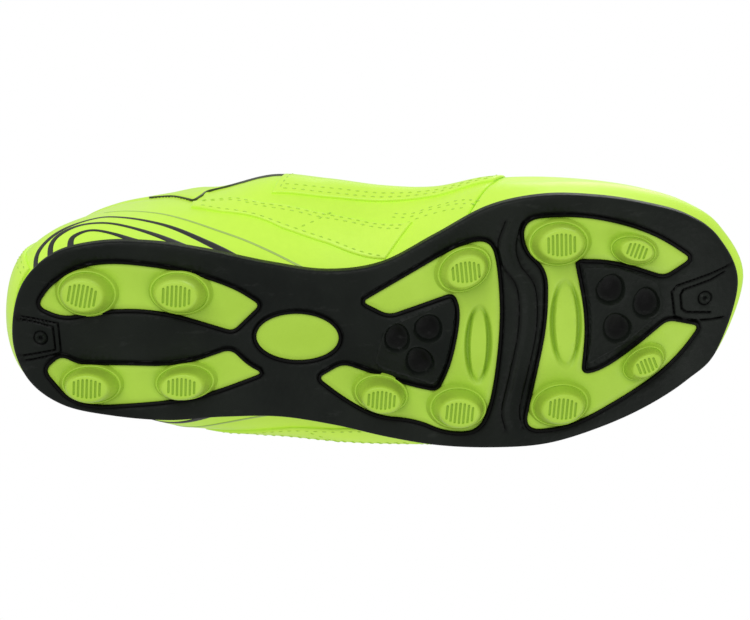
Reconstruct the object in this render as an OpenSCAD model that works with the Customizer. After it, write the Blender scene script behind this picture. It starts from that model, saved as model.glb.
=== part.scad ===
// Moulded-stud soccer cleat, left shoe: +X toe, +Y outer (lateral) side, +Z up.
// The shoe stands on its stud tips at z = 0 and all lengths are millimetres.

/* [Outsole] */
// Thickness of the moulded outsole plate
plate_thickness = 4.5; // [3.5:0.5:6]
// Height of the raised collar round each stud's root
stud_collar_height = 1.2; // [0.6:0.2:2]
// How far a short stud's tip stays above the ground
short_stud_lift = 3.5; // [2:0.5:5]
// How far a stud's tip leans towards the medial side
stud_lean = 1.6; // [0:0.2:2.4]
// Play between the plate and the inserts moulded into its windows
insert_gap = 0.05; // [0.02:0.01:0.2]

/* [Footbed] */
// Thickness of the fibre insole board
board_thickness = 1.8; // [1.2:0.2:2.4]
// Thickness of the foam sockliner
sockliner_thickness = 3.5; // [2.5:0.5:5]

/* [Upper] */
// How far the upper's foot stands inside the plate's outline
upper_inset = 1.6; // [1:0.2:2.4]
// Thickness of the outer synthetic leather
skin_thickness = 1.2; // [0.8:0.1:1.4]
// Thickness of the foam, counter and puff layer under it
middle_thickness = 1.4; // [1:0.1:1.8]
// Thickness of the textile lining
lining_thickness = 0.8; // [0.6:0.1:1]
// Thickness of stitched-on overlays
overlay_thickness = 0.9; // [0.6:0.1:1.2]
// Extra thickness of the padded collar at its fullest
collar_padding = 4.5; // [3:0.5:6]

/* [Tongue and lace] */
// Half of the tongue's flat width
tongue_half_width = 26; // [22:1:28]
// How far the tongue's long edges droop below its middle
tongue_droop = 26; // [22:1:30]
// Radius of a lace hole
eyelet_radius = 2; // [1.6:0.1:2.4]
// Radius of the lace
lace_radius = 1.2; // [0.8:0.1:1.4]

/* [Hidden] */

neon = [0.78, 0.96, 0.25];
leaf = [0.62, 0.80, 0.24];
black = [0.11, 0.12, 0.11];
foam_white = [0.93, 0.93, 0.90];
board_tan = [0.72, 0.62, 0.46];

medial = -1;
lateral = 1;
touch = 0.05;          // play between layers that lie on each other

// ---------------------------------------------------------------- stations
// The upper is lofted through stations from the heel centre (0) to the toe tip (16).
// Each row: plate edge x, y | belly outward, height | shoulder outward, height | top edge x, y, z
medial_rows = [
  [-122, -1.5, 4, 32, 3, 54, -118, -1.5, 72],
  [-117.5, -19, 4.5, 30, 3, 52, -113, -17, 71.5],
  [-106, -30, 4.2, 29, 1, 52, -102, -29, 70.5],
  [-90, -33.6, 4, 30, 3, 52, -89, -34.5, 68.5],
  [-72, -32.6, 4.5, 32, 6, 50, -71.5, -38, 65],
  [-54, -28.8, 8.5, 33, 12, 51, -56, -39, 67],
  [-35, -23.6, 15, 36, 21, 55, -38, -30, 81],
  [-16, -20, 16, 36, 22, 55, -22, -17.5, 86],
  [2, -21.9, 13, 34, 18, 49, -2, -15.5, 80],
  [20, -30.8, 7, 31, 8, 46, 15, -14, 74],
  [38, -40, 3.5, 28, 1, 42, 30, -12, 67.5],
  [56, -43.2, 1.4, 26, -3, 41, 44, -5, 61.5],
  [74, -41.9, 1.8, 26, -4, 39, 61, -5.5, 56],
  [90, -38.4, 2.2, 27, -4, 38, 75, -6, 52],
  [104, -33.3, 2.2, 28, -4, 38, 85, -6.5, 49],
  [115, -24.5, 2.6, 29, -3, 38.5, 91, -7, 47.5],
  [122, -8, 3.4, 30, -2.5, 39, 94, -7, 46.5]];
lateral_rows = [
  [-122, -1.5, 4, 32, 3, 54, -118, -1.5, 72],
  [-118, 12.5, 4, 30, 3, 52, -113.5, 12, 71.5],
  [-107, 21.5, 3.5, 29, 2, 52, -102.5, 23, 70.5],
  [-91, 26, 3.5, 30, 4, 52, -89.5, 30, 68.5],
  [-72, 28.7, 7.5, 29, 8.5, 50, -71.5, 36, 65],
  [-54, 28.6, 10.5, 29, 12, 51, -56, 37.5, 67],
  [-35, 29.6, 12, 30, 12, 54, -38, 27.5, 81],
  [-16, 33.7, 10.5, 29, 8.5, 53, -22, 14, 86],
  [2, 38.6, 7.5, 29, 3.5, 50, -2, 9.5, 80],
  [20, 42, 4.5, 27, -1, 46, 15, 6, 74],
  [38, 43, 3, 26, -3, 42, 30, 2, 67.5],
  [56, 42.1, 2.5, 26, -4, 41, 44, -5, 61.5],
  [74, 37.4, 2.5, 26, -4, 39, 61, -5.5, 56],
  [90, 31.2, 3, 27, -4, 38, 75, -6, 52],
  [104, 23.5, 3, 28, -4, 38, 85, -6.5, 49],
  [114.5, 14.5, 3.2, 29, -3, 38.5, 91, -7, 47.5],
  [122, -8, 3.4, 30, -2.5, 39, 94, -7, 46.5]];
// Points on the shoe's middle line that each station faces away from
spine = [[-88, -2], [-87, -2], [-84, -2], [-78, -2], [-68, -2], [-54, -2], [-36, 0], [-17, 2],
         [0, 2], [16, 0], [33, -2], [50, -3], [66, -4], [78, -5], [87, -6], [92, -7], [95, -7]];
last = len(spine) - 1;
throat = 11;           // station of the throat's foot, where the two sides join

// Underside of the plate along the shoe: heel lift, arch, ball and toe spring
rocker = [[-130, 16.5], [-110, 11.6], [-85, 11], [-50, 12.4], [-15, 14], [20, 12], [50, 10.2],
          [80, 11.6], [105, 16], [130, 24.5]];

// ---------------------------------------------------------------- curves
function catmull(a, b, c, d, f) =
  0.5 * (2 * b + (c - a) * f + (2 * a - 5 * b + 4 * c - d) * f * f + (3 * b - 3 * c + d - a) * f * f * f);

function slope(p, k) =
  let (a = max(k - 1, 0), b = min(k + 1, len(p) - 1)) (p[b][1] - p[a][1]) / (p[b][0] - p[a][0]);

function span_of(p, x, k = 0) = (k >= len(p) - 2 || x < p[k + 1][0]) ? k : span_of(p, x, k + 1);

function smooth_lookup(p, x) =
  let (k = span_of(p, x),
       w = p[k + 1][0] - p[k][0],
       f = min(max((x - p[k][0]) / w, 0), 1))
  p[k][1] * (1 + 2 * f) * (1 - f) * (1 - f) + slope(p, k) * w * f * (1 - f) * (1 - f)
  + p[k + 1][1] * f * f * (3 - 2 * f) + slope(p, k + 1) * w * f * f * (f - 1);

function underside(x) = smooth_lookup(rocker, x);
function topside(x) = underside(x) + plate_thickness;
function unit(v) = v / max(norm(v), 1e-9);
function mix(a, b, f) = a * (1 - f) + b * f;
function ramp(x, a, b) = let (f = min(max((x - a) / (b - a), 0), 1)) f * f * (3 - 2 * f);

// Closed outline whose corners [x, y, cut] are eased with a parabola that starts cut away from them
function eased(p, n = 5) = [
  for (i = [0 : len(p) - 1])
    let (b = [p[i][0], p[i][1]],
         a = [for (k = [0, 1]) p[(i + len(p) - 1) % len(p)][k]],
         c = [for (k = [0, 1]) p[(i + 1) % len(p)][k]],
         ca = min(p[i][2], 0.49 * norm(a - b)),
         cc = min(p[i][2], 0.49 * norm(c - b)),
         s = b + unit(a - b) * ca,
         e = b + unit(c - b) * cc)
    for (k = [0 : n]) let (f = k / n) (1 - f) * (1 - f) * s + 2 * f * (1 - f) * b + f * f * e];

function oval(c, rx, ry, turn = 0, n = 40) = [
  for (k = [0 : n - 1])
    let (a = 360 * k / n, x = rx * cos(a), y = ry * sin(a))
    [c[0] + x * cos(turn) - y * sin(turn), c[1] + x * sin(turn) + y * cos(turn)]];

// ---------------------------------------------------------------- upper surface
function rows(side) = side < 0 ? medial_rows : lateral_rows;
function edge_row(k, side) = k < 0 ? edge_row(-k, -side) : k > last ? edge_row(2 * last - k, -side)
  : [rows(side)[k][0], rows(side)[k][1]];
function outward(k, side) = let (v = unit(edge_row(k, side) - spine[k])) [v[0], v[1], 0];

function station(k, side) =
  let (r = rows(side)[k],
       n = outward(k, side),
       e = [r[0], r[1], 0],
       foot = e - n * upper_inset)
  [[foot[0], foot[1], topside(foot[0])], e + n * r[2] + [0, 0, r[3]], e + n * r[4] + [0, 0, r[5]],
   [r[6], r[7], r[8]]];
medial_stations = [for (k = [0 : last]) station(k, medial)];
lateral_stations = [for (k = [0 : last]) station(k, lateral)];
function stations(k, side) = k < 0 ? stations(-k, -side) : k > last ? stations(2 * last - k, -side)
  : side < 0 ? medial_stations[k] : lateral_stations[k];

// The four control points at a place t between stations; t below 0 or past the toe wraps round
function section(t, side) =
  t < 0 ? section(-t, -side)
  : t > last ? section(2 * last - t, -side)
  : let (k = min(floor(t), last - 1))
    catmull(stations(k - 1, side), stations(k, side), stations(k + 1, side), stations(k + 2, side), t - k);

function plate_edge(t, side) =
  t < 0 ? plate_edge(-t, -side)
  : t > last ? plate_edge(2 * last - t, -side)
  : let (k = min(floor(t), last - 1))
    catmull(edge_row(k - 1, side), edge_row(k, side), edge_row(k + 1, side), edge_row(k + 2, side), t - k);

// A point of the upper's outer face: h runs from 0 at the plate to 1 at the top edge or ridge
function face_point(t, side, h) =
  h > 1 ? face_point(t, -side, 2 - h)
  : let (q = section(t, side),
         joined = min(max(abs(t) - throat + 1, 0), 1),
         other = section(t, -side),
         chain = [2 * q[0] - q[1], q[0], q[1], q[2], q[3], mix(2 * q[3] - q[2], other[2], joined)],
         k = min(floor(h * 3), 2))
    catmull(chain[k], chain[k + 1], chain[k + 2], chain[k + 3], h * 3 - k);

function face_normal(t, side, h) =
  let (d = 0.04,
       t0 = t > last - d ? t - d : t,
       up = (t >= throat && t < last - d) ? h + d : min(h + d, 1),
       along = face_point(t0 + d, side, h) - face_point(t0 - d, side, h),
       rise = face_point(t, side, up) - face_point(t, side, max(h - d, 0)))
  unit(cross(along, rise) * -side);

// A point at a depth under the outer face; negative depths stand proud of it
function under(t, side, h, depth) = face_point(t, side, h) - face_normal(t, side, h) * depth;

// ---------------------------------------------------------------- shells from point grids
// Two triangles of a cell; flip turns them over, and other takes the other diagonal
function cell(a, b, c, d, flip, other = false) =
  flip ? cell(a, d, c, b, false, other) : other ? [[a, b, d], [b, c, d]] : [[a, b, c], [a, c, d]];

// Closed shell between two grids of points. The first crossed columns take the other diagonal,
// so that layers that lie on each other are cut into the same triangles.
module grid_shell(outer, inner, flip = false, crossed = 0) {
  ni = len(outer);
  nj = len(outer[0]);
  size = ni * nj;
  points = [for (g = [outer, inner]) for (row = g) each row];
  faces = [
    for (i = [0 : ni - 2]) for (j = [0 : nj - 2])
      let (a = i * nj + j, b = a + 1, c = b + nj, d = a + nj, other = i < crossed)
      each concat(cell(a, b, c, d, flip, other), cell(size + a, size + b, size + c, size + d, !flip, other)),
    for (i = [0 : ni - 2])
      let (a = i * nj, b = a + nj, c = a + nj - 1, d = b + nj - 1)
      each concat(cell(a, b, size + b, size + a, flip), cell(d, c, size + c, size + d, flip)),
    for (j = [0 : nj - 2])
      let (a = j, c = (ni - 1) * nj + j)
      each concat(cell(a + 1, a, size + a, size + a + 1, flip),
                  cell(c, c + 1, size + c + 1, size + c, flip))];
  polyhedron(points, faces, convexity = 8);
}

// One-sided patch of the upper. low and high give each column's [t, h] at its foot and its top.
module patch(side, low, high, outer_depth, inner_depth, nj, crossed = 0) {
  function place(i, j) = mix(low[i], high[i], j / nj);
  function layer(depth) = [
    for (i = [0 : len(low) - 1]) [
      for (j = [0 : nj]) let (q = place(i, j)) under(q[0], side, q[1], depth(q[0], q[1]))]];
  grid_shell(layer(outer_depth), layer(inner_depth), side > 0, crossed);
}

// Patch over both sides, joined along the ridge, and round the toe where it ends there.
// from and to count the forefoot's columns.
module joined_patch(from, to, depths) {
  closed = to == fore_columns;
  ni = to - from;
  nj = fore_rows;
  size = (ni + 1) * (nj + 1);
  points = [
    for (depth = depths) for (side = [medial, lateral]) for (i = [from : to]) for (j = [0 : nj])
      let (f = i / fore_columns, h = j / nj)
      under(mix(mix(vamp_foot, last, f), mix(throat, last, f), h), side, h, depth)];
  function at(layer, s, i, j) =
    let (m = (j == nj || (closed && i == ni)) ? 0 : s) (layer * 2 + m) * size + i * (nj + 1) + j;
  faces = [
    for (s = [0, 1]) each concat(
      [for (i = [0 : ni - 1]) for (j = [0 : nj - 1]) each concat(
        cell(at(0, s, i, j), at(0, s, i, j + 1), at(0, s, i + 1, j + 1), at(0, s, i + 1, j), s > 0),
        cell(at(1, s, i, j), at(1, s, i, j + 1), at(1, s, i + 1, j + 1), at(1, s, i + 1, j), s == 0))],
      [for (i = [0 : ni - 1])
        each cell(at(0, s, i, 0), at(0, s, i + 1, 0), at(1, s, i + 1, 0), at(1, s, i, 0), s > 0)],
      [for (j = [0 : nj - 1])
        each cell(at(0, s, 0, j + 1), at(0, s, 0, j), at(1, s, 0, j), at(1, s, 0, j + 1), s > 0)],
      closed ? [] : [for (j = [0 : nj - 1])
        each cell(at(0, s, ni, j), at(0, s, ni, j + 1), at(1, s, ni, j + 1), at(1, s, ni, j), s > 0)])];
  polyhedron(points, faces, convexity = 10);
}

function steps(a, b, n) = [for (k = [0 : n]) mix(a, b, k / n)];

// ---------------------------------------------------------------- layer depths
middle_depth = skin_thickness + touch;
lining_depth = middle_depth + middle_thickness + touch;
// The collar padding swells inwards below the top edge, round the heel and both ankles
function padding(t, h) =
  collar_padding * (1 - ramp(abs(t), 5.6, 6.4)) * ramp(h, 0.62, 0.8) * (1 - ramp(h, 0.86, 1));
function pad_floor(t, h) = lining_depth - touch + padding(t, h);

// ---------------------------------------------------------------- outsole
module slab(lower, upper) {
  x = steps(-128, 128, 48);
  translate([0, 60, 0])
    rotate([90, 0, 0])
      linear_extrude(120)
        polygon(concat([for (v = x) [v, underside(v) + lower]],
                       [for (k = [len(x) - 1 : -1 : 0]) [x[k], underside(x[k]) + upper]]));
}

function inset_edge(t, side, inset) =
  let (k = min(floor(t), last - 1),
       e = plate_edge(t, side))
  e - unit(e - mix(spine[k], spine[k + 1], t - k)) * inset;

// The plate's outline, moved inwards; both ends are shared by the two sides
function sole_outline(inset) = concat(
  [for (t = steps(0, last, 64)) inset_edge(t, medial, inset)],
  [for (t = steps(last - 0.25, 0.25, 62)) inset_edge(t, lateral, inset)]);

heel_window_medial = [
  [-112, -12.5, 3], [-103, -8.2, 8], [-92, -10.8, 20], [-72, -10, 20], [-48, -1, 2], [-38.6, -9.4, 2],
  [-48, -16.4, 20], [-68, -23.6, 40], [-92, -27, 25], [-106, -20.5, 14]];
heel_window_lateral = [
  [-105.5, 4.8, 2.5], [-99, 8.4, 6], [-88, 8.6, 20], [-66, 10.4, 20], [-49, 5.2, 3], [-44, 11.2, 5],
  [-39, 14.2, 2], [-58, 20.4, 20], [-72, 22.2, 30], [-102, 22.6, 12], [-111.5, 9.6, 3]];
mid_window = [
  [-20.4, 17, 2], [-12, 24.4, 10], [-1.5, 31, 6], [12, 32.4, 20], [22, 37.4, 8], [33, 37.2, 6],
  [37.6, 25, 30], [41, 0, 60], [40.4, -20, 20], [38, -29, 6], [28, -27.2, 10], [-4.6, -8.8, 1.8],
  [4, -4, 3], [26, -11.4, 3], [28.2, -4, 12], [24.6, 13, 40], [19.6, 23.2, 3], [8, 20.4, 25],
  [-12, 12.4, 3]];
front_window = [
  [48, 37.4, 6], [64, 36.6, 12], [90, 22.8, 30], [101, 14, 15], [108, 5.2, 2], [97, 2, 2.5],
  [84, 11.8, 20], [74, 17.8, 12], [67.4, 18.8, 3], [69.4, 0, 40], [65.6, -21.2, 2.5], [79, -20.2, 15],
  [96, -13.4, 2.5], [105, -18.4, 2], [94, -26.6, 20], [81, -32.2, 25], [66, -35.6, 20],
  [49.4, -35.2, 6], [49.2, -25.6, 5], [57, -18, 6], [56.6, 0, 50], [52.4, 19, 30]];
waist_window = oval([-26.7, 2.4], 13.7, 8, 5);

window_recess = 0.4;    // the inserts lie this far above the plate's underside

// A moulded insert that fills one window of the plate
module insert(outline) {
  intersection() {
    linear_extrude(60)
      polygon(outline);
    slab(window_recess, plate_thickness - insert_gap);
  }
}

stud_neck = 0.86;       // share of the collar's widths where the body starts
stud_tip = 0.66;        // and where it ends

// A stud: raised collar, and a body that tapers and leans down to the ground.
// The body is extruded about a point beside it, so that its taper also moves its tip sideways.
module stud(x, y, rx, ry, turn = 0, lift = 0) {
  root = underside(x) + plate_thickness / 3;
  collar = underside(x) - stud_collar_height;
  shrink = stud_tip / stud_neck;
  beside = stud_lean / (1 - shrink);
  translate([x, y, 0]) {
    translate([0, 0, collar])
      linear_extrude(root - collar)
        polygon(oval([0, 0], rx, ry, turn));
    translate([0, -beside, root])
      mirror([0, 0, 1])
        linear_extrude(root - lift, scale = shrink)
          polygon(oval([0, beside], rx * stud_neck, ry * stud_neck, turn));
  }
}

module outsole_plate() {
  color(black)
    intersection() {
      linear_extrude(60)
        difference() {
          polygon(sole_outline(0));
          polygon(eased(heel_window_medial));
          polygon(eased(heel_window_lateral));
          polygon(eased(mid_window));
          polygon(eased(front_window));
          polygon(waist_window);
        }
      slab(0, plate_thickness);
    }
}

module heel_insert_medial() {
  color(leaf) {
    insert(eased(heel_window_medial));
    stud(-95, -16.6, 9.6, 7.6, 4);
    stud(-64.6, -15.2, 9.8, 7.2, 8);
  }
}

module heel_insert_lateral() {
  color(leaf) {
    insert(eased(heel_window_lateral));
    stud(-96, 14.8, 9.8, 6.6, 4);
    stud(-65, 15.6, 9.8, 6.2, -4);
  }
}

module waist_insert() {
  color(leaf)
    insert(waist_window);
}

module mid_insert() {
  color(leaf) {
    insert(eased(mid_window));
    stud(29.4, -19.2, 9.2, 7, -28);
    stud(0.4, 23, 9, 6.4, 14);
    stud(26, 28.6, 9.4, 7.2, 4);
  }
}

module front_insert() {
  color(leaf) {
    insert(eased(front_window));
    stud(60.4, -26.9, 9.8, 7.4, 0);
    stud(85.2, -23, 7.6, 4.8, 14, short_stud_lift);
    stud(60, 28.6, 9.6, 7.2, -8);
    stud(88.4, 16, 7.4, 5, -32, short_stud_lift);
  }
}

// ---------------------------------------------------------------- footbed
layer_foot = upper_inset + lining_depth + lining_thickness;

module footbed_layer(inset, lower, upper) {
  intersection() {
    linear_extrude(70)
      polygon(sole_outline(inset));
    slab(lower, upper);
  }
}

module insole_board() {
  color(board_tan)
    footbed_layer(layer_foot + 0.8, plate_thickness, plate_thickness + board_thickness);
}

module sockliner() {
  color(black)
    footbed_layer(layer_foot + 1, plate_thickness + board_thickness,
                  plate_thickness + board_thickness + sockliner_thickness);
}

// ---------------------------------------------------------------- forefoot
vamp_foot = 9.6;       // station where the vamp's rear edge meets the plate
fore_columns = 20;
fore_rows = 8;
puff_column = 7;       // the toe puff starts at this column

module vamp() {
  color(neon)
    joined_patch(0, fore_columns, [0, skin_thickness]);
}

module vamp_foam() {
  color(foam_white)
    joined_patch(0, puff_column, [middle_depth, middle_depth + middle_thickness]);
}

module toe_puff() {
  color(board_tan)
    joined_patch(puff_column, fore_columns, [middle_depth, middle_depth + middle_thickness]);
}

module vamp_lining() {
  color(black)
    joined_patch(0, fore_columns, [lining_depth, lining_depth + lining_thickness]);
}

// ---------------------------------------------------------------- quarters
// Every layer of the quarters is cut on one grid of columns and rows, counted from the heel
// centre and from the plate, so that the layers nest. Negative columns are on the other side.
rear_columns = 22;
rear_rows = 12;
seam_play = 0.03;      // play to the vamp's rear edge, in stations
function column_top(k) = k * (throat - seam_play) / rear_columns;
function column_foot(k) = column_top(k) * vamp_foot / throat;

module rear_patch(side, columns, rows, outer_depth, inner_depth) {
  h = rows / rear_rows;
  k = [for (c = [columns[0] : columns[1]]) c];
  patch(side, [for (c = k) [mix(column_foot(c), column_top(c), h[0]), h[0]]],
        [for (c = k) [mix(column_foot(c), column_top(c), h[1]), h[1]]],
        outer_depth, inner_depth, rows[1] - rows[0], max(-columns[0], 0));
}

module middle_layer(side, columns, rows) {
  rear_patch(side, columns, rows, function (t, h) middle_depth, function (t, h) pad_floor(t, h));
}

module quarter(side) {
  color(neon)
    difference() {
      rear_patch(side, [0, rear_columns], [0, rear_rows],
                 function (t, h) 0, function (t, h) skin_thickness);
      eyelet_holes(side);
    }
}
module quarter_medial() { quarter(medial); }
module quarter_lateral() { quarter(lateral); }

module quarter_lining(side) {
  color(black)
    difference() {
      rear_patch(side, [0, rear_columns], [0, rear_rows], function (t, h) pad_floor(t, h) + touch,
                 function (t, h) pad_floor(t, h) + touch + lining_thickness);
      eyelet_holes(side);
    }
}
module quarter_lining_medial() { quarter_lining(medial); }
module quarter_lining_lateral() { quarter_lining(lateral); }

// The middle layer: counter round the heel, foam along the sides, padding round the collar
// and a stiffening tape along each row of lace holes
counter_column = 7;
padding_column = 13;
padding_row = 8;

module heel_counter() {
  color(board_tan)
    middle_layer(medial, [-counter_column, counter_column], [0, padding_row]);
}

module quarter_foam(side) {
  color(foam_white)
    middle_layer(side, [counter_column, rear_columns], [0, padding_row]);
}
module quarter_foam_medial() { quarter_foam(medial); }
module quarter_foam_lateral() { quarter_foam(lateral); }

module collar_pad() {
  color(foam_white)
    middle_layer(medial, [-padding_column, padding_column], [padding_row, rear_rows]);
}

module eyelet_tape(side) {
  color(foam_white)
    difference() {
      middle_layer(side, [padding_column, rear_columns], [padding_row, rear_rows]);
      eyelet_holes(side);
    }
}
module eyelet_tape_medial() { eyelet_tape(medial); }
module eyelet_tape_lateral() { eyelet_tape(lateral); }

// ---------------------------------------------------------------- overlays
module rear_overlay(side, columns, rows) {
  color(neon)
    rear_patch(side, columns, rows, function (t, h) -touch - overlay_thickness,
               function (t, h) -touch);
}

module backstay() {
  rear_overlay(medial, [-3, 3], [1, 10]);
}

module heel_tab() {
  rear_overlay(medial, [-1, 1], [10, rear_rows]);
}

// The saddle's two long edges: from under the ankle forward and down to the plate
saddle_low = [[4.6, 0.42], [5.15, 0.32], [6.2, 0.19], [7, 0.14], [8.1, 0.02]];
saddle_high = [[4.6, 0.5], [5.3, 0.45], [5.85, 0.34], [7.5, 0.28], [8.6, 0.2]];

saddle_play = 0.2;     // the saddle crosses the grid's cells, so it stands a little further off

module saddle(side) {
  low = steps(4.6, 8.1, 14);
  high = steps(4.6, 8.6, 14);
  color(neon)
    patch(side, [for (v = low) [v, lookup(v, saddle_low)]], [for (v = high) [v, lookup(v, saddle_high)]],
          function (t, h) -saddle_play - overlay_thickness, function (t, h) -saddle_play, 4);
}
module saddle_medial() { saddle(medial); }
module saddle_lateral() { saddle(lateral); }

// ---------------------------------------------------------------- lacing
eyelet_count = 6;
eyelet_setback = 6.5;  // from the throat's edge
function eyelet_t(k) = mix(10.35, 7.05, k / (eyelet_count - 1));
// h at which the face lies the setback below the throat's edge
function eyelet_h(t, side) =
  1 - eyelet_setback / norm(face_point(t, side, 1) - face_point(t, side, 0.8)) * 0.2;
function eyelet_point(k, side, depth) =
  let (t = eyelet_t(k)) under(t, side, eyelet_h(t, side), depth);
function eyelet_axis(k, side) = let (t = eyelet_t(k)) face_normal(t, side, eyelet_h(t, side));

module along(v) {
  rotate([0, acos(v[2]), atan2(v[1], v[0])])
    children();
}

module eyelet_holes(side) {
  for (k = [0 : eyelet_count - 1])
    translate(eyelet_point(k, side, 8))
      along(eyelet_axis(k, side))
        cylinder(h = 14, r = eyelet_radius, $fn = 16);
}

eyestay_row = 5;

module eyestay(side) {
  difference() {
    rear_overlay(side, [padding_column, rear_columns], [eyestay_row, rear_rows]);
    eyelet_holes(side);
  }
}
module eyestay_medial() { eyestay(medial); }
module eyestay_lateral() { eyestay(lateral); }

// Depths of the lace's middle where it lies on the eyestay and where it lies under the lining
lace_over = -touch - overlay_thickness - lace_radius - 0.2;
lace_below = lining_depth + lining_thickness + lace_radius + 0.2;
lace_cross = 1.3;      // each lace end passes this far above or below the middle of a crossing
function throat_edge(k, side, depth) = under(eyelet_t(k), side, 1, depth);

// One lace end: down its first hole, then up through the others in turn, and down the last one.
// hump is +1 for the end that passes over the other and -1 for the end below it.
function lace_route(first, hump) = [
  for (k = [0 : eyelet_count - 1])
    let (side = k % 2 == 0 ? first : -first,
         top = k == eyelet_count - 1,
         before = k == 1 ? lace_below : lace_over,
         after = top ? lace_over : lace_below,
         enter = top || k == 0 ? lace_over : lace_below,
         leave = top || k == 0 ? lace_below : lace_over)
    each concat(
      k == 0 ? [throat_edge(0, side, lace_over)] : [
        throat_edge(k - 1, -side, before),
        mix(throat_edge(k - 1, -side, before), throat_edge(k, side, after), 0.5)
          + [0, 0, hump * lace_cross],
        throat_edge(k, side, after)],
      [eyelet_point(k, side, enter), eyelet_point(k, side, leave)],
      top ? [under(eyelet_t(k), side, 0.66, lace_below)] : [])];

// A round tube along a route that never runs along X
module tube(route, radius, sides = 8) {
  n = len(route);
  points = [
    for (i = [0 : n - 1])
      let (d = unit(route[min(i + 1, n - 1)] - route[max(i - 1, 0)]),
           u = unit(cross([1, 0, 0], d)),
           v = cross(d, u))
      for (a = [0 : sides - 1]) route[i] + radius * (u * cos(360 * a / sides) + v * sin(360 * a / sides))];
  walls = [
    for (i = [0 : n - 2]) for (a = [0 : sides - 1])
      let (b = (a + 1) % sides, p = i * sides, q = p + sides)
      each [[p + a, q + a, q + b], [p + a, q + b, p + b]]];
  ends = [[for (a = [0 : sides - 1]) a], [for (a = [sides - 1 : -1 : 0]) (n - 1) * sides + a]];
  polyhedron(points, concat(walls, ends), convexity = 20);
}

module lace() {
  medial_end = lace_route(medial, 1);
  lateral_end = lace_route(lateral, -1);
  color(neon)
    tube(concat([for (i = [len(medial_end) - 1 : -1 : 0]) medial_end[i]], lateral_end), lace_radius);
}

// ---------------------------------------------------------------- tongue
// Middle line of the tongue's outer face, from its sewn foot up to its free end
tongue_line = [[45, -4.8, 54], [38, -5, 56.8], [30, -5, 60], [15, -4, 66.6], [-2, -3, 73],
               [-22, -2, 79.8], [-36, -1.6, 86.6], [-46, -1.4, 94]];
// Share of the full half width at each of those points
tongue_width = [0.42, 0.5, 0.6, 0.74, 0.86, 0.96, 1, 0.86];

function tongue_point(i, v, depth) =
  let (p = tongue_line[i],
       a = tongue_line[max(i - 1, 0)],
       b = tongue_line[min(i + 1, len(tongue_line) - 1)],
       w = tongue_width[i],
       lift = unit(cross([0, 1, 0], b - a)),
       y = v * w * tongue_half_width * (1 - 0.14 * v * v * w),
       drop = tongue_droop * v * v * w * w,
       n = unit(lift + [0, 2 * v * w * tongue_droop / tongue_half_width, 0]))
  p + [0, y, 0] - lift * drop - n * depth;
function tongue_grid(depth) = [
  for (i = [0 : len(tongue_line) - 1]) [for (v = steps(-1, 1, 12)) tongue_point(i, v, depth)]];

module tongue_shell(top, bottom) {
  grid_shell(tongue_grid(top), tongue_grid(bottom), true);
}

module tongue_face() {
  color(neon)
    tongue_shell(0, 1.1);
}
module tongue_foam() {
  color(foam_white)
    tongue_shell(1.15, 4.2);
}
module tongue_lining() {
  color(black)
    tongue_shell(4.25, 5);
}

outsole_plate();
heel_insert_medial();
heel_insert_lateral();
waist_insert();
mid_insert();
front_insert();
insole_board();
sockliner();
vamp();
vamp_foam();
toe_puff();
vamp_lining();
quarter_medial();
quarter_lateral();
heel_counter();
quarter_foam_medial();
quarter_foam_lateral();
collar_pad();
quarter_lining_medial();
quarter_lining_lateral();
backstay();
heel_tab();
saddle_medial();
saddle_lateral();
eyestay_medial();
eyestay_lateral();
eyelet_tape_medial();
eyelet_tape_lateral();
tongue_face();
tongue_foam();
tongue_lining();
lace();
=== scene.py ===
"""Looks of the soccer cleat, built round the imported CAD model.

Shapes are worked out in millimetres and turned into metres where a mesh is made.
The upper's surface takes a place (t, side, h): t runs from 0 at the heel centre to 16 at the toe,
side is -1 on the inner (medial) side and 1 on the outer one, and h from 0 at the plate to 1 on top.
"""

import math

import bmesh
import bpy
import numpy as np
from mathutils import Matrix, Vector
from mathutils.geometry import delaunay_2d_cdt


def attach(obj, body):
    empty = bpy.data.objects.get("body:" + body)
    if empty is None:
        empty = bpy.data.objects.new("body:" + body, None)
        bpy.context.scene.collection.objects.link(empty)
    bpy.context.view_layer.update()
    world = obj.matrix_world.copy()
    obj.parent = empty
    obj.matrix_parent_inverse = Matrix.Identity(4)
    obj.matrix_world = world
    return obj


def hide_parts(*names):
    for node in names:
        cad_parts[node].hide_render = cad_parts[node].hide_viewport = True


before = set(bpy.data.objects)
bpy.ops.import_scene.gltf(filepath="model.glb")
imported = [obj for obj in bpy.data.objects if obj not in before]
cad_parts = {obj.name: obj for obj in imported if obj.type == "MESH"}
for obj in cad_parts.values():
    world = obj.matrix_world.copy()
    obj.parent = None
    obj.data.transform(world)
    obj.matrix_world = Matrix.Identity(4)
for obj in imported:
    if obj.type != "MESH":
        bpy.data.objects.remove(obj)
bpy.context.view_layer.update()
MM = 0.001
MEDIAL = -1
LATERAL = 1
SIDES = {"medial": MEDIAL, "lateral": LATERAL}

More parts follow.
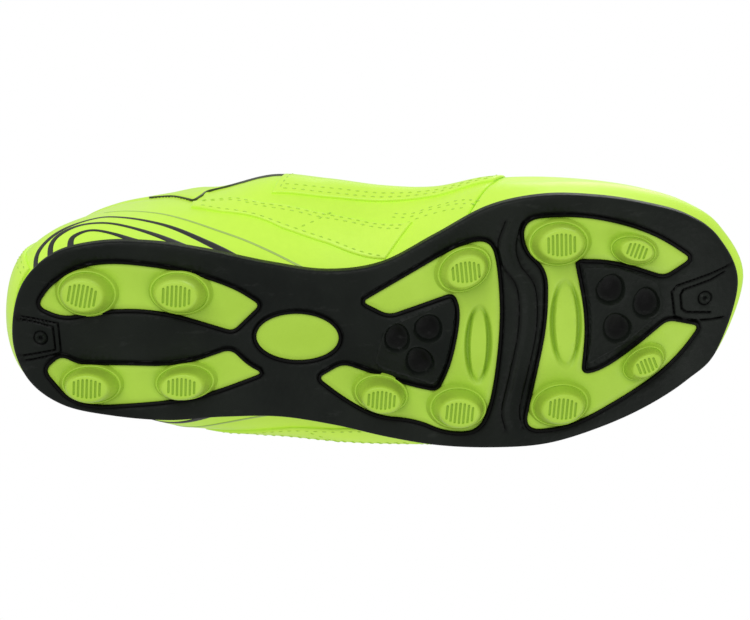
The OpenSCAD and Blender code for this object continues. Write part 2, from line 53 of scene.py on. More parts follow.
# ---------------------------------------------------------------- the CAD model's own numbers
# Each row: plate edge x, y | belly outward, height | shoulder outward, height | top edge x, y, z
MEDIAL_ROWS = [
    [-122, -1.5, 4, 32, 3, 54, -118, -1.5, 72],
    [-117.5, -19, 4.5, 30, 3, 52, -113, -17, 71.5],
    [-106, -30, 4.2, 29, 1, 52, -102, -29, 70.5],
    [-90, -33.6, 4, 30, 3, 52, -89, -34.5, 68.5],
    [-72, -32.6, 4.5, 32, 6, 50, -71.5, -38, 65],
    [-54, -28.8, 8.5, 33, 12, 51, -56, -39, 67],
    [-35, -23.6, 15, 36, 21, 55, -38, -30, 81],
    [-16, -20, 16, 36, 22, 55, -22, -17.5, 86],
    [2, -21.9, 13, 34, 18, 49, -2, -15.5, 80],
    [20, -30.8, 7, 31, 8, 46, 15, -14, 74],
    [38, -40, 3.5, 28, 1, 42, 30, -12, 67.5],
    [56, -43.2, 1.4, 26, -3, 41, 44, -5, 61.5],
    [74, -41.9, 1.8, 26, -4, 39, 61, -5.5, 56],
    [90, -38.4, 2.2, 27, -4, 38, 75, -6, 52],
    [104, -33.3, 2.2, 28, -4, 38, 85, -6.5, 49],
    [115, -24.5, 2.6, 29, -3, 38.5, 91, -7, 47.5],
    [122, -8, 3.4, 30, -2.5, 39, 94, -7, 46.5],
]
LATERAL_ROWS = [
    [-122, -1.5, 4, 32, 3, 54, -118, -1.5, 72],
    [-118, 12.5, 4, 30, 3, 52, -113.5, 12, 71.5],
    [-107, 21.5, 3.5, 29, 2, 52, -102.5, 23, 70.5],
    [-91, 26, 3.5, 30, 4, 52, -89.5, 30, 68.5],
    [-72, 28.7, 7.5, 29, 8.5, 50, -71.5, 36, 65],
    [-54, 28.6, 10.5, 29, 12, 51, -56, 37.5, 67],
    [-35, 29.6, 12, 30, 12, 54, -38, 27.5, 81],
    [-16, 33.7, 10.5, 29, 8.5, 53, -22, 14, 86],
    [2, 38.6, 7.5, 29, 3.5, 50, -2, 9.5, 80],
    [20, 42, 4.5, 27, -1, 46, 15, 6, 74],
    [38, 43, 3, 26, -3, 42, 30, 2, 67.5],
    [56, 42.1, 2.5, 26, -4, 41, 44, -5, 61.5],
    [74, 37.4, 2.5, 26, -4, 39, 61, -5.5, 56],
    [90, 31.2, 3, 27, -4, 38, 75, -6, 52],
    [104, 23.5, 3, 28, -4, 38, 85, -6.5, 49],
    [114.5, 14.5, 3.2, 29, -3, 38.5, 91, -7, 47.5],
    [122, -8, 3.4, 30, -2.5, 39, 94, -7, 46.5],
]
SPINE = np.array([
    [-88, -2], [-87, -2], [-84, -2], [-78, -2], [-68, -2], [-54, -2], [-36, 0], [-17, 2], [0, 2],
    [16, 0], [33, -2], [50, -3], [66, -4], [78, -5], [87, -6], [92, -7], [95, -7],
], float)
ROCKER = np.array([
    [-130, 16.5], [-110, 11.6], [-85, 11], [-50, 12.4], [-15, 14], [20, 12], [50, 10.2],
    [80, 11.6], [105, 16], [130, 24.5],
], float)
LAST = 16
THROAT = 11
VAMP_FOOT = 9.6
PLATE = 4.5
BOARD = 1.8
SOCKLINER = 3.5
UPPER_INSET = 1.6
SKIN = 1.2
MIDDLE = 1.4
LINING = 0.8
OVERLAY = 0.9
PADDING = 4.5
MIDDLE_DEPTH = 1.25
LINING_DEPTH = 2.7
REAR_COLUMNS = 22
REAR_ROWS = 12
QUARTER_END = 10.97
EYELETS = 6
EYELET_SETBACK = 6.5
WINDOW_RECESS = 0.4
STUD_LEAN = 1.6

# Corners [x, y, cut] of the plate's windows
HEEL_WINDOW_MEDIAL = [
    [-112, -12.5, 3], [-103, -8.2, 8], [-92, -10.8, 20], [-72, -10, 20], [-48, -1, 2],
    [-38.6, -9.4, 2], [-48, -16.4, 20], [-68, -23.6, 40], [-92, -27, 25], [-106, -20.5, 14],
]
HEEL_WINDOW_LATERAL = [
    [-105.5, 4.8, 2.5], [-99, 8.4, 6], [-88, 8.6, 20], [-66, 10.4, 20], [-49, 5.2, 3],
    [-44, 11.2, 5], [-39, 14.2, 2], [-58, 20.4, 20], [-72, 22.2, 30], [-102, 22.6, 12],
    [-111.5, 9.6, 3],
]
MID_WINDOW = [
    [-20.4, 17, 2], [-12, 24.4, 10], [-1.5, 31, 6], [12, 32.4, 20], [22, 37.4, 8], [33, 37.2, 6],
    [37.6, 25, 30], [41, 0, 60], [40.4, -20, 20], [38, -29, 6], [28, -27.2, 10], [-4.6, -8.8, 1.8],
    [4, -4, 3], [26, -11.4, 3], [28.2, -4, 12], [24.6, 13, 40], [19.6, 23.2, 3], [8, 20.4, 25],
    [-12, 12.4, 3],
]
FRONT_WINDOW = [
    [48, 37.4, 6], [64, 36.6, 12], [90, 22.8, 30], [101, 14, 15], [108, 5.2, 2], [97, 2, 2.5],
    [84, 11.8, 20], [74, 17.8, 12], [67.4, 18.8, 3], [69.4, 0, 40], [65.6, -21.2, 2.5],
    [79, -20.2, 15], [96, -13.4, 2.5], [105, -18.4, 2], [94, -26.6, 20], [81, -32.2, 25],
    [66, -35.6, 20], [49.4, -35.2, 6], [49.2, -25.6, 5], [57, -18, 6], [56.6, 0, 50],
    [52.4, 19, 30],
]
# Studs [x, y, half length, half width, turn, height of the tip, turn of the tip's grooves]
STUDS = {
    "heel_insert_medial": [[-95, -16.6, 9.6, 7.6, 4, 0, 10], [-64.6, -15.2, 9.8, 7.2, 8, 0, -2]],
    "heel_insert_lateral": [[-96, 14.8, 9.8, 6.6, 4, 0, 2], [-65, 15.6, 9.8, 6.2, -4, 0, 9]],
    "mid_insert": [
        [29.4, -19.2, 9.2, 7, -28, 0, 24],
        [0.4, 23, 9, 6.4, 14, 0, -8],
        [26, 28.6, 9.4, 7.2, 4, 0, 3],
    ],
    "front_insert": [
        [60.4, -26.9, 9.8, 7.4, 0, 0, 0],
        [85.2, -23, 7.6, 4.8, 14, 3.5, 6],
        [60, 28.6, 9.6, 7.2, -8, 0, 14],
        [88.4, 16, 7.4, 5, -32, 3.5, 12],
    ],
}


# ---------------------------------------------------------------- curves
def unit(v):
    """Vectors of length 1."""
    v = np.asarray(v, float)
    return v / np.maximum(np.linalg.norm(v, axis=-1, keepdims=True), 1e-9)


def mix(a, b, f):
    return a * (1 - f) + b * f


def ramp(x, a, b):
    f = np.clip((np.asarray(x, float) - a) / (b - a), 0, 1)
    return f * f * (3 - 2 * f)


def bump(x, centre, half):
    """1 at the centre, falling smoothly to 0 at half its width on either side."""
    return 1 - ramp(np.abs(np.asarray(x, float) - centre), 0, half)


def catmull(a, b, c, d, f):
    return 0.5 * (2 * b + (c - a) * f + (2 * a - 5 * b + 4 * c - d) * f**2
                  + (3 * b - 3 * c + d - a) * f**3)


def underside(x):
    """Height of the plate's underside at x."""
    px, pz = ROCKER.T
    rise = np.gradient(pz)
    rise[1:-1] = (pz[2:] - pz[:-2]) / (px[2:] - px[:-2])
    rise[0] = (pz[1] - pz[0]) / (px[1] - px[0])
    rise[-1] = (pz[-1] - pz[-2]) / (px[-1] - px[-2])
    k = np.clip(np.searchsorted(px, x, side="right") - 1, 0, len(px) - 2)
    w = px[k + 1] - px[k]
    f = np.clip((x - px[k]) / w, 0, 1)
    return (pz[k] * (1 + 2 * f) * (1 - f)**2 + rise[k] * w * f * (1 - f)**2
            + pz[k + 1] * f**2 * (3 - 2 * f) + rise[k + 1] * w * f**2 * (f - 1))


def along_line(points, n):
    """Points spread evenly by length along a smooth curve through the given ones."""
    p = np.asarray(points, float)
    ends = np.vstack([2 * p[0] - p[1], p, 2 * p[-1] - p[-2]])
    dense = np.array([
        catmull(ends[i], ends[i + 1], ends[i + 2], ends[i + 3], f)
        for i in range(len(p) - 1) for f in np.linspace(0, 1, 24, endpoint=False)
    ] + [p[-1]])
    run = np.concatenate([[0], np.cumsum(np.linalg.norm(np.diff(dense, axis=0), axis=1))])
    at = np.linspace(0, run[-1], n)
    return np.stack([np.interp(at, run, dense[:, k]) for k in range(dense.shape[1])], 1)


def length_of(points):
    return float(np.linalg.norm(np.diff(points, axis=0), axis=1).sum())


# ---------------------------------------------------------------- the upper's surface
def station_points(rows):
    r = np.array(rows, float)
    edge = r[:, :2]
    n = unit(edge - SPINE)
    foot = edge - n * UPPER_INSET
    z = underside(foot[:, 0]) + PLATE
    q = np.zeros((len(r), 4, 3))
    q[:, 0, :2] = foot
    q[:, 0, 2] = z
    q[:, 1, :2] = edge + n * r[:, 2:3]
    q[:, 1, 2] = r[:, 3]
    q[:, 2, :2] = edge + n * r[:, 4:5]
    q[:, 2, 2] = r[:, 5]
    q[:, 3] = r[:, 6:9]
    return q


WRAP = 8


def wrapped(own, other):
    """The stations of one side, carried on over the heel and the toe by the other side's."""
    return np.concatenate([other[WRAP:0:-1], own, other[-2:-2 - WRAP:-1]])


STATIONS = {MEDIAL: station_points(MEDIAL_ROWS), LATERAL: station_points(LATERAL_ROWS)}
EDGES = {
    MEDIAL: np.array(MEDIAL_ROWS, float)[:, :2],
    LATERAL: np.array(LATERAL_ROWS, float)[:, :2],
}
CONTROL = {s: wrapped(STATIONS[s], STATIONS[-s]) for s in (MEDIAL, LATERAL)}
EDGE_CONTROL = {s: wrapped(EDGES[s], EDGES[-s]) for s in (MEDIAL, LATERAL)}


def between_stations(table, t):
    k = np.clip(np.floor(t).astype(int), -WRAP + 1, LAST + WRAP - 2)
    f = (t - k).reshape(t.shape + (1,) * (table.ndim - 1))
    i = k + WRAP
    return catmull(table[i - 1], table[i], table[i + 1], table[i + 2], f)


def plate_edge(t, side):
    return between_stations(EDGE_CONTROL[side], np.asarray(t, float))


def one_side(t, side, h):
    q = between_stations(CONTROL[side], t)
    other = between_stations(CONTROL[-side], t)
    joined = np.clip(np.abs(t) - THROAT + 1, 0, 1)[..., None]
    joined = np.where((t > LAST)[..., None], 1, joined)
    beyond = mix(2 * q[..., 3, :] - q[..., 2, :], other[..., 2, :], joined)
    chain = np.stack([2 * q[..., 0, :] - q[..., 1, :], q[..., 0, :], q[..., 1, :], q[..., 2, :],
                      q[..., 3, :], beyond], -2)
    k = np.clip(np.floor(h * 3).astype(int), 0, 2)
    f = (h * 3 - k)[..., None]

    def pick(n):
        return np.take_along_axis(chain, (k + n)[..., None, None], -2)[..., 0, :]

    return catmull(pick(0), pick(1), pick(2), pick(3), f)


def face(t, side, h):
    """A point of the upper's outer face. Past h 1 the forefoot goes on over the ridge."""
    t, h = np.broadcast_arrays(np.asarray(t, float), np.asarray(h, float))
    near = one_side(t, side, np.minimum(h, 1))
    if np.all(h <= 1):
        return near
    return np.where((h > 1)[..., None], one_side(t, -side, np.minimum(2 - h, 1)), near)


NORMAL_STEP = 0.04


def normal(t, side, h):
    """Outward directions, of length 1, at places on the upper's surface."""
    d = NORMAL_STEP
    t, h = np.broadcast_arrays(np.asarray(t, float), np.asarray(h, float))
    t0 = np.where(t > LAST - d, t - d, t)
    up = np.where((t >= THROAT) & (t < LAST - d), h + d, np.minimum(h + d, 1))
    along = face(t0 + d, side, h) - face(t0 - d, side, h)
    rise = face(t, side, up) - face(t, side, np.maximum(h - d, 0))
    return unit(np.cross(along, rise) * -side)


def under(t, side, h, depth):
    """A point at a depth in millimetres under the outer face; below 0 it stands proud."""
    depth = np.asarray(depth, float)
    return face(t, side, h) - normal(t, side, h) * depth[..., None]


def foot_t(t):
    """The station at the plate of the quarter's column that reaches the top at t."""
    return t * VAMP_FOOT / THROAT


def quarter_place(top, h):
    return mix(foot_t(top), top, h), h


def padding(t, h):
    return (PADDING * (1 - ramp(np.abs(t), 5.6, 6.4)) * ramp(h, 0.62, 0.8)
            * (1 - ramp(h, 0.86, 1)))


# ---------------------------------------------------------------- meshes
def new_object(name, points, faces, material, body="shoe", slot=None, angle=40):
    mesh = bpy.data.meshes.new(name)
    mesh.from_pydata((np.asarray(points) * MM).tolist(), [], [list(map(int, f)) for f in faces])
    mesh.validate()
    mesh.polygons.foreach_set("use_smooth", [True] * len(mesh.polygons))
    mesh.set_sharp_from_angle(angle=math.radians(angle))
    obj = bpy.data.objects.new(name, mesh)
    bpy.context.scene.collection.objects.link(obj)
    obj.data.materials.append(material)
    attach(obj, body)
    return obj


def outward_faces(obj):
    """Turns a closed piece's faces so that they all face out."""
    b = bmesh.new()
    b.from_mesh(obj.data)
    bmesh.ops.remove_doubles(b, verts=b.verts, dist=1e-6)
    bmesh.ops.recalc_face_normals(b, faces=b.faces)
    b.to_mesh(obj.data)
    b.free()
    obj.data.polygons.foreach_set("use_smooth", [True] * len(obj.data.polygons))
    obj.data.set_sharp_from_angle(angle=math.radians(40))
    return obj


def grid_faces(rows, columns, offset=0, closed=False):
    """Quads of a grid of points numbered along its columns; closed joins the last column on."""
    faces = []
    for i in range(rows - 1):
        for j in range(columns - (0 if closed else 1)):
            k = (j + 1) % columns
            a = offset + i * columns
            faces.append((a + j, a + k, a + columns + k, a + columns + j))
    return faces


def shell_faces(rows, columns, folded=False):
    """Faces of a closed shell between two equal grids, the second one turned over.

    A folded shell has no wall along its last row, where its two halves meet."""
    size = rows * columns
    faces = grid_faces(rows, columns)
    faces += [f[::-1] for f in grid_faces(rows, columns, size)]
    ring = [j for j in range(columns)]
    ring += [i * columns + columns - 1 for i in range(1, rows)]
    ring += [(rows - 1) * columns + j for j in range(columns - 2, -1, -1)]
    ring += [i * columns for i in range(rows - 2, 0, -1)]
    last_row = (rows - 1) * columns
    for k, a in enumerate(ring):
        b = ring[(k + 1) % len(ring)]
        if folded and min(a, b) >= last_row:
            continue
        faces.append((b, a, a + size, b + size))
    return faces


def shell(name, outer, inner, material, folded=False, **options):
    points = np.concatenate([outer.reshape(-1, 3), inner.reshape(-1, 3)])
    obj = new_object(name, points, shell_faces(*outer.shape[:2], folded), material, **options)
    return outward_faces(obj)


def edge_steps(count, length, radius, low=True, high=True):
    """0 to 1, with extra steps where an end is rounded off."""
    e = np.array([0, 0.1, 0.3, 0.6, 1]) * radius / length
    start = e[-1] if low else 0
    stop = 1 - e[-1] if high else 1
    inner = np.linspace(start, stop, count)
    parts = [e[:-1]] if low else []
    parts.append(inner)
    if high:
        parts.append(1 - e[:-1][::-1])
    return np.concatenate(parts)


def round_off(distance, radius):
    """Share of the full height at a distance from a rounded edge."""
    f = np.clip(distance / radius, 0, 1)
    return np.sqrt(np.clip(1 - (1 - f)**2, 0, 1))


def edge_distance(u, v, width, height, edges):
    """Distance in millimetres from the nearest rounded edge of a panel: u and v run 0 to 1."""
    d = np.full(np.broadcast(u, v).shape, 1e3)
    for flag, value, size in zip(edges, (u, 1 - u, v, 1 - v), (width, width, height, height)):
        if flag:
            d = np.minimum(d, value * size)
    return d


def panel(name, side, place, size, count, top, bottom, material, radius=0.9,
          edges=(True, True, True, True), relief=None, **options):
    """A layer of the upper. place(u, v) gives (t, h); top and bottom are depths under the face.

    size is its rough (width, height) in millimetres, and edges says which of its u0, u1, v0
    and v1 edges are rounded. relief(t, h) lifts the outer face."""
    u = edge_steps(count[0], size[0], radius, edges[0], edges[1])[:, None]
    v = edge_steps(count[1], size[1], radius, edges[2], edges[3])[None, :]
    u, v = np.broadcast_arrays(u, v)
    t, h = place(u, v)
    share = round_off(edge_distance(u, v, size[0], size[1], edges), radius)
    high = top(t, h) if callable(top) else np.full(t.shape, top)
    low = bottom(t, h) if callable(bottom) else np.full(t.shape, bottom)
    if relief is not None:
        high = high - relief(t, h)
    outer = under(t, side, h, mix(low, high, 0.06 + 0.94 * share))
    inner = under(t, side, h, low)
    return shell(name, outer, inner, material, **options)


# ---------------------------------------------------------------- materials
def srgb(r, g, b):
    def linear(c):
        c = c / 255
        return c / 12.92 if c <= 0.04045 else ((c + 0.055) / 1.055)**2.4

    return (linear(r), linear(g), linear(b), 1)


class Nodes:
    """A material's nodes, with short calls to add and join them."""

    def __init__(self, name):
        self.material = bpy.data.materials.new(name)
        self.material.use_nodes = True
        self.tree = self.material.node_tree
        self.shader = self.tree.nodes["Principled BSDF"]
        self.place = self.add("ShaderNodeTexCoord").outputs["Object"]

    def add(self, kind, **values):
        node = self.tree.nodes.new(kind)
        for key, value in values.items():
            if hasattr(node, key):
                setattr(node, key, value)
            else:
                node.inputs[key.replace("_", " ")].default_value = value
        return node

    def join(self, output, socket):
        self.tree.links.new(output, socket)

    def set(self, **values):
        for key, value in values.items():
            self.shader.inputs[key.replace("_", " ")].default_value = value

    def noise(self, scale, detail=3.0, roughness=0.55, stretch=None):
        node = self.add("ShaderNodeTexNoise", Scale=scale, Detail=detail, Roughness=roughness)
        self.join(self.stretched(stretch), node.inputs["Vector"])
        return node.outputs["Fac"]

    def cells(self, scale, feature="F1", randomness=1.0):
        node = self.add("ShaderNodeTexVoronoi", feature=feature, Scale=scale,
                        Randomness=randomness)
        self.join(self.place, node.inputs["Vector"])
        return node.outputs["Distance"]

    def stretched(self, stretch, turn=(0, 0, 0)):
        if stretch is None:
            return self.place
        node = self.add("ShaderNodeMapping")
        node.inputs["Scale"].default_value = stretch
        node.inputs["Rotation"].default_value = turn
        self.join(self.place, node.inputs["Vector"])
        return node.outputs["Vector"]

    def wave(self, scale, stretch, turn=(0, 0, 0), distortion=0.0, direction="X"):
        node = self.add("ShaderNodeTexWave", bands_direction=direction, Scale=scale,
                        Distortion=distortion)
        self.join(self.stretched(stretch, turn), node.inputs["Vector"])
        return node.outputs["Fac"]

    def math(self, operation, a, b):
        node = self.add("ShaderNodeMath", operation=operation)
        for socket, value in zip(node.inputs, (a, b)):
            if isinstance(value, (int, float)):
                socket.default_value = value
            else:
                self.join(value, socket)
        return node.outputs["Value"]

    def map(self, value, low, high, to_low, to_high):
        node = self.add("ShaderNodeMapRange")
        self.join(value, node.inputs["Value"])
        for key, number in zip(("From Min", "From Max", "To Min", "To Max"),
                               (low, high, to_low, to_high)):
            node.inputs[key].default_value = number
        return node.outputs["Result"]

    def blend(self, factor, a, b):
        node = self.add("ShaderNodeMix", data_type="RGBA")
        self.join(factor, node.inputs["Factor"])
        for socket, value in zip((node.inputs[6], node.inputs[7]), (a, b)):
            if isinstance(value, tuple):
                socket.default_value = value
            else:
                self.join(value, socket)
        return node.outputs[2]

    def bumps(self, *layers):
        """Layers of (height, strength, distance in metres), one on the other."""
        before = None
        for height, strength, distance in layers:
            node = self.add("ShaderNodeBump", Strength=strength, Distance=distance)
            self.join(height, node.inputs["Height"])
            if before is not None:
                self.join(before, node.inputs["Normal"])
            before = node.outputs["Normal"]
        self.join(before, self.shader.inputs["Normal"])

    def painted(self, name):
        return self.add("ShaderNodeAttribute", attribute_name=name).outputs["Fac"]


def synthetic_leather(name, light, dark, glow, grain=1.0):
    """Coated synthetic: fine pebbled grain, faint creases, a soft coat and a little glow."""
    n = Nodes(name)
    broad = n.noise(18, 2)
    fine = n.noise(420, 3)
    shade = n.map(n.math("ADD", n.math("MULTIPLY", broad, 0.75), n.math("MULTIPLY", fine, 0.25)),
                  0.36, 0.64, 0, 1)
    colour = n.blend(shade, dark, light)
    n.join(colour, n.shader.inputs["Base Color"])
    n.join(colour, n.shader.inputs["Emission Color"])
    n.join(n.map(n.noise(60, 3), 0.3, 0.7, 0.34, 0.5), n.shader.inputs["Roughness"])
    n.set(Emission_Strength=glow, Coat_Weight=0.15, Coat_Roughness=0.35)
    n.bumps((n.cells(900), 0.1 * grain, 0.0002), (fine, 0.14 * grain, 0.0003),
            (n.noise(70, 4), 0.12, 0.0006))
    return n.material


def moulded_plastic(name, light, dark, roughness, gloss, painted_shade=None, painted_sheen=None, grain=0.12):
    """Injection-moulded plastic: mottled colour, fine spark texture, optional painted shade and sheen
    streaks.
    """
    n = Nodes(name)
    shade = n.map(n.noise(30, 4), 0.35, 0.65, 0, 1)
    colour = n.blend(shade, dark, light)
    # painted shade: the groove colour laid over the grooves, moats and dimples
    if painted_shade:
        colour = n.blend(n.painted("painted_shade"), colour, painted_shade)
    rough = n.map(n.noise(140, 4), 0.3, 0.7, roughness - 0.07, roughness + 0.08)
    # lighter streaks painted as sheen; the same streaks are also rougher
    if painted_sheen:
        sheen_streaks = n.map(n.noise(90, 6, 0.7, (1.0, 3.0, 1.0)), 0.6, 0.8, 0, 0.5)
        colour = n.blend(sheen_streaks, colour, painted_sheen)
        rough = n.math("ADD", rough, n.math("MULTIPLY", sheen_streaks, 0.25))
    n.join(colour, n.shader.inputs["Base Color"])
    n.join(rough, n.shader.inputs["Roughness"])
    n.set(Specular_IOR_Level=gloss)
    n.bumps((n.noise(1500, 2), grain, 0.0002), (n.cells(520), grain, 0.00035),
            (n.noise(45, 3), 0.1, 0.0008))
    return n.material


def woven(name, light, dark, pitch, sheen=0.3, open_mesh=False):
    """Knitted or woven textile: crossing ribs at a pitch in millimetres, fuzz and sheen."""
    n = Nodes(name)
    scale = 314.0 / pitch / 2
    a = n.wave(scale, (1, 1, 1), (0.5, 0.35, 0.7))
    b = n.wave(scale, (1, 1, 1), (-0.6, 0.9, -0.8))
    weave = n.math("MULTIPLY", a, b)
    if open_mesh:
        holes = n.cells(1000 / pitch / 1.2, randomness=0.15)
        weave = n.math("ADD", n.math("MULTIPLY", weave, 0.4), n.math("MULTIPLY", holes, 1.2))
    fuzz = n.noise(1200, 3)
    shade = n.map(n.math("ADD", weave, n.math("MULTIPLY", fuzz, 0.5)), 0.15, 1.0, 0, 1)
    n.join(n.blend(shade, dark, light), n.shader.inputs["Base Color"])
    n.join(n.map(fuzz, 0.3, 0.7, 0.75, 0.95), n.shader.inputs["Roughness"])
    n.set(Sheen_Weight=sheen, Sheen_Roughness=0.5)
    n.bumps((weave, 0.5, 0.0005), (fuzz, 0.25, 0.0002))
    return n.material


def foam(name, colour, dark):
    n = Nodes(name)
    pores = n.cells(700)
    n.join(n.blend(n.map(pores, 0.2, 0.7, 1, 0), colour, dark), n.shader.inputs["Base Color"])
    n.join(n.map(n.noise(300), 0.3, 0.7, 0.8, 0.95), n.shader.inputs["Roughness"])
    n.bumps((pores, 0.5, 0.0004), (n.noise(900, 3), 0.3, 0.0002))
    return n.material


def fibre(name, colour, dark):
    n = Nodes(name)
    strands = n.noise(260, 5, 0.7, (1, 4, 1))
    n.join(n.blend(n.map(strands, 0.35, 0.65, 0, 1), colour, dark), n.shader.inputs["Base Color"])
    n.join(n.map(strands, 0.3, 0.7, 0.75, 0.9), n.shader.inputs["Roughness"])
    n.bumps((strands, 0.35, 0.0003), (n.noise(1100, 3), 0.2, 0.0002))
    return n.material


NEON = synthetic_leather("neon_synthetic", srgb(206, 250, 72), srgb(197, 243, 66), 0.06)
NEON_OVERLAY = synthetic_leather("neon_overlay", srgb(208, 250, 78), srgb(198, 243, 68), 0.06, 1.3)
TONGUE_SKIN = synthetic_leather("tongue_synthetic", srgb(204, 248, 76), srgb(194, 240, 68), 0.05)
THREAD = woven("stitch_thread", srgb(194, 238, 68), srgb(170, 216, 50), 0.35, 0.4)
LACE = woven("lace_textile", srgb(206, 250, 84), srgb(168, 216, 50), 0.7, 0.5)
# The groove colours of both plastics are painted shade in their recesses.
BLACK = moulded_plastic("black_tpu", srgb(26, 30, 26), srgb(15, 19, 16), 0.44, 0.12,
                        # the black's lighter streak colour is painted sheen
                        painted_shade=srgb(1, 1, 1), painted_sheen=srgb(56, 58, 56), grain=0.32)
GREEN = moulded_plastic("green_tpu", srgb(178, 216, 72), srgb(168, 206, 62), 0.42, 0.35,
                        painted_shade=srgb(118, 158, 26), grain=0.07)
PRINT_BLACK = synthetic_leather("printed_black", srgb(20, 26, 16), srgb(10, 14, 8), 0.0, 0.6)
PRINT_GREY = synthetic_leather("printed_grey", srgb(176, 208, 108), srgb(160, 190, 96), 0.0, 0.6)
# a dark colour painted as the shadow along the collar's seam
SEAM_SHADOW = synthetic_leather("seam_shadow", srgb(52, 66, 22), srgb(34, 44, 14), 0.0, 0.8)
MESH_LINING = woven("lining_textile", srgb(58, 60, 60), srgb(14, 15, 16), 1.1, 0.35, True)
SOCK = woven("sockliner_textile", srgb(52, 54, 54), srgb(20, 21, 22), 0.8, 0.5)
FOAM = foam("white_foam", srgb(238, 238, 228), srgb(170, 170, 158))
TAPE = woven("stay_tape", srgb(232, 230, 222), srgb(176, 172, 160), 0.6, 0.2)
FIBRE = fibre("fibre_board", srgb(182, 156, 120), srgb(140, 112, 78))


# ---------------------------------------------------------------- outlines of the sole
def eased_corner(a, b, c, cut, steps):
    """Points of the parabola that eases corner b, between a and c, from cut away on each side."""
    before = min(cut, 0.49 * np.linalg.norm(a - b))
    after = min(cut, 0.49 * np.linalg.norm(c - b))
    s = b + unit(a - b) * before
    e = b + unit(c - b) * after
    return [(1 - f)**2 * s + 2 * f * (1 - f) * b + f * f * e for f in np.linspace(0, 1, steps)]


def eased(corners):
    """Closed outline whose corners [x, y, cut] are eased."""
    p = np.array(corners, float)
    out = []
    for i in range(len(p)):
        out += eased_corner(p[i - 1, :2], p[i, :2], p[(i + 1) % len(p), :2], p[i, 2], steps=10)
    return np.array(out)


def oval(x, y, rx, ry, turn=0, n=48):
    a = np.linspace(0, 2 * np.pi, n, endpoint=False)
    turn = math.radians(turn)
    px = rx * np.cos(a)
    py = ry * np.sin(a)
    return np.stack([x + px * math.cos(turn) - py * math.sin(turn),
                     y + px * math.sin(turn) + py * math.cos(turn)], 1)


def evenly(loop, step):
    """The closed loop again, with points about step apart."""
    closed = np.vstack([loop, loop[:1]])
    gap = np.linalg.norm(np.diff(closed, axis=0), axis=1)
    run = np.concatenate([[0], np.cumsum(gap)])
    at = np.linspace(0, run[-1], max(int(run[-1] / step), 8), endpoint=False)
    return np.stack([np.interp(at, run, closed[:, k]) for k in (0, 1)], 1)


def area(loop):
    x, y = loop.T
    return 0.5 * np.sum(x * np.roll(y, -1) - y * np.roll(x, -1))


def offset(loop, distance):
    """The loop moved outwards by a distance; below 0 moves it inwards."""
    ahead = unit(np.roll(loop, -1, 0) - loop)
    behind = unit(loop - np.roll(loop, 1, 0))
    t = unit(ahead + behind)
    n = np.stack([t[:, 1], -t[:, 0]], 1) * np.sign(area(loop))
    return loop + n * distance


def inside(points, loop):
    """Which of the points lie inside the closed loop."""
    x, y = points[:, 0:1], points[:, 1:2]
    ax, ay = loop.T
    bx, by = np.roll(loop, -1, 0).T
    crosses = (ay > y) != (by > y)
    with np.errstate(divide="ignore", invalid="ignore"):
        at = ax + (y - ay) * (bx - ax) / (by - ay)
    return (crosses & (x < at)).sum(1) % 2 == 1


def distance_to(points, line, closed=True):
    """Distance of each point to a line of points."""
    a = line if closed else line[:-1]
    b = np.roll(line, -1, 0) if closed else line[1:]
    best = np.full(len(points), 1e9)
    ab = b - a
    size = np.maximum((ab**2).sum(1), 1e-12)
    for start in range(0, len(points), 4000):
        p = points[start:start + 4000, None, :]
        f = np.clip(((p - a) * ab).sum(2) / size, 0, 1)
        gap = p - (a + f[..., None] * ab)
        best[start:start + 4000] = np.sqrt((gap**2).sum(2).min(1))
    return best


def fill_grid(loop, step):
    low, high = loop.min(0), loop.max(0)
    xs = np.arange(low[0], high[0], step)
    ys = np.arange(low[1], high[1], step * 0.87)
    x, y = np.meshgrid(xs, ys)
    x = x + (np.arange(len(ys)) % 2)[:, None] * step / 2
    points = np.stack([x.ravel(), y.ravel()], 1)
    return points[inside(points, loop)]


def triangulate(outline, holes, rings, lines, loose):
    """Delaunay triangles inside the outline and outside the holes.

    rings are closed lines and lines open ones that the triangles' edges keep to."""
    points = []
    edges = []
    for ring in [outline, *holes, *rings]:
        k = len(points)
        points += [Vector(p) for p in ring]
        edges += [(k + i, k + (i + 1) % len(ring)) for i in range(len(ring))]
    for line in lines:
        k = len(points)
        points += [Vector(p) for p in line]
        edges += [(k + i, k + i + 1) for i in range(len(line) - 1)]
    points += [Vector(p) for p in loose]
    flat, _, triangles, *_ = delaunay_2d_cdt(points, edges, [], 0, 1e-5)
    flat = np.array([tuple(p) for p in flat])
    triangles = np.array([tuple(f) for f in triangles if len(f) == 3])
    middle = flat[triangles].mean(1)
    keep = inside(middle, outline)
    for hole in holes:
        keep &= ~inside(middle, hole)
    return flat, triangles[keep]


def boundary(triangles):
    """Directed edges that only one triangle has."""
    edges = np.concatenate([triangles[:, [0, 1]], triangles[:, [1, 2]], triangles[:, [2, 0]]])
    known = {tuple(e) for e in edges.tolist()}
    return [e for e in edges.tolist() if (e[1], e[0]) not in known]


def slab(name, flat, triangles, low, high, material, painted_shade=None, **options):
    """Closed slab over flat triangles, from height low to height high at each point.

    The optional shade function gives each point of the underside its painted shade, 0 to 1."""
    used, triangles = np.unique(triangles, return_inverse=True)
    triangles = triangles.reshape(-1, 3)
    flat = flat[used]
    under_z = low(flat)
    over_z = high(flat)
    n = len(flat)
    points = np.concatenate([np.column_stack([flat, under_z]), np.column_stack([flat, over_z])])
    faces = [tuple(f[::-1]) for f in triangles.tolist()]
    faces += [tuple(i + n for i in f) for f in triangles.tolist()]
    faces += [(a, b, b + n, a + n) for a, b in boundary(triangles)]
    obj = new_object(name, points, faces, material, **options)
    # the underside's recesses get painted shade, kept as a point attribute
    if painted_shade is not None:
        paint = obj.data.attributes.new("painted_shade", "FLOAT", "POINT")
        values = np.concatenate([painted_shade(flat), np.zeros(n)])
        if len(obj.data.vertices) == len(values):
            paint.data.foreach_set("value", values.astype(np.float32))
    return obj


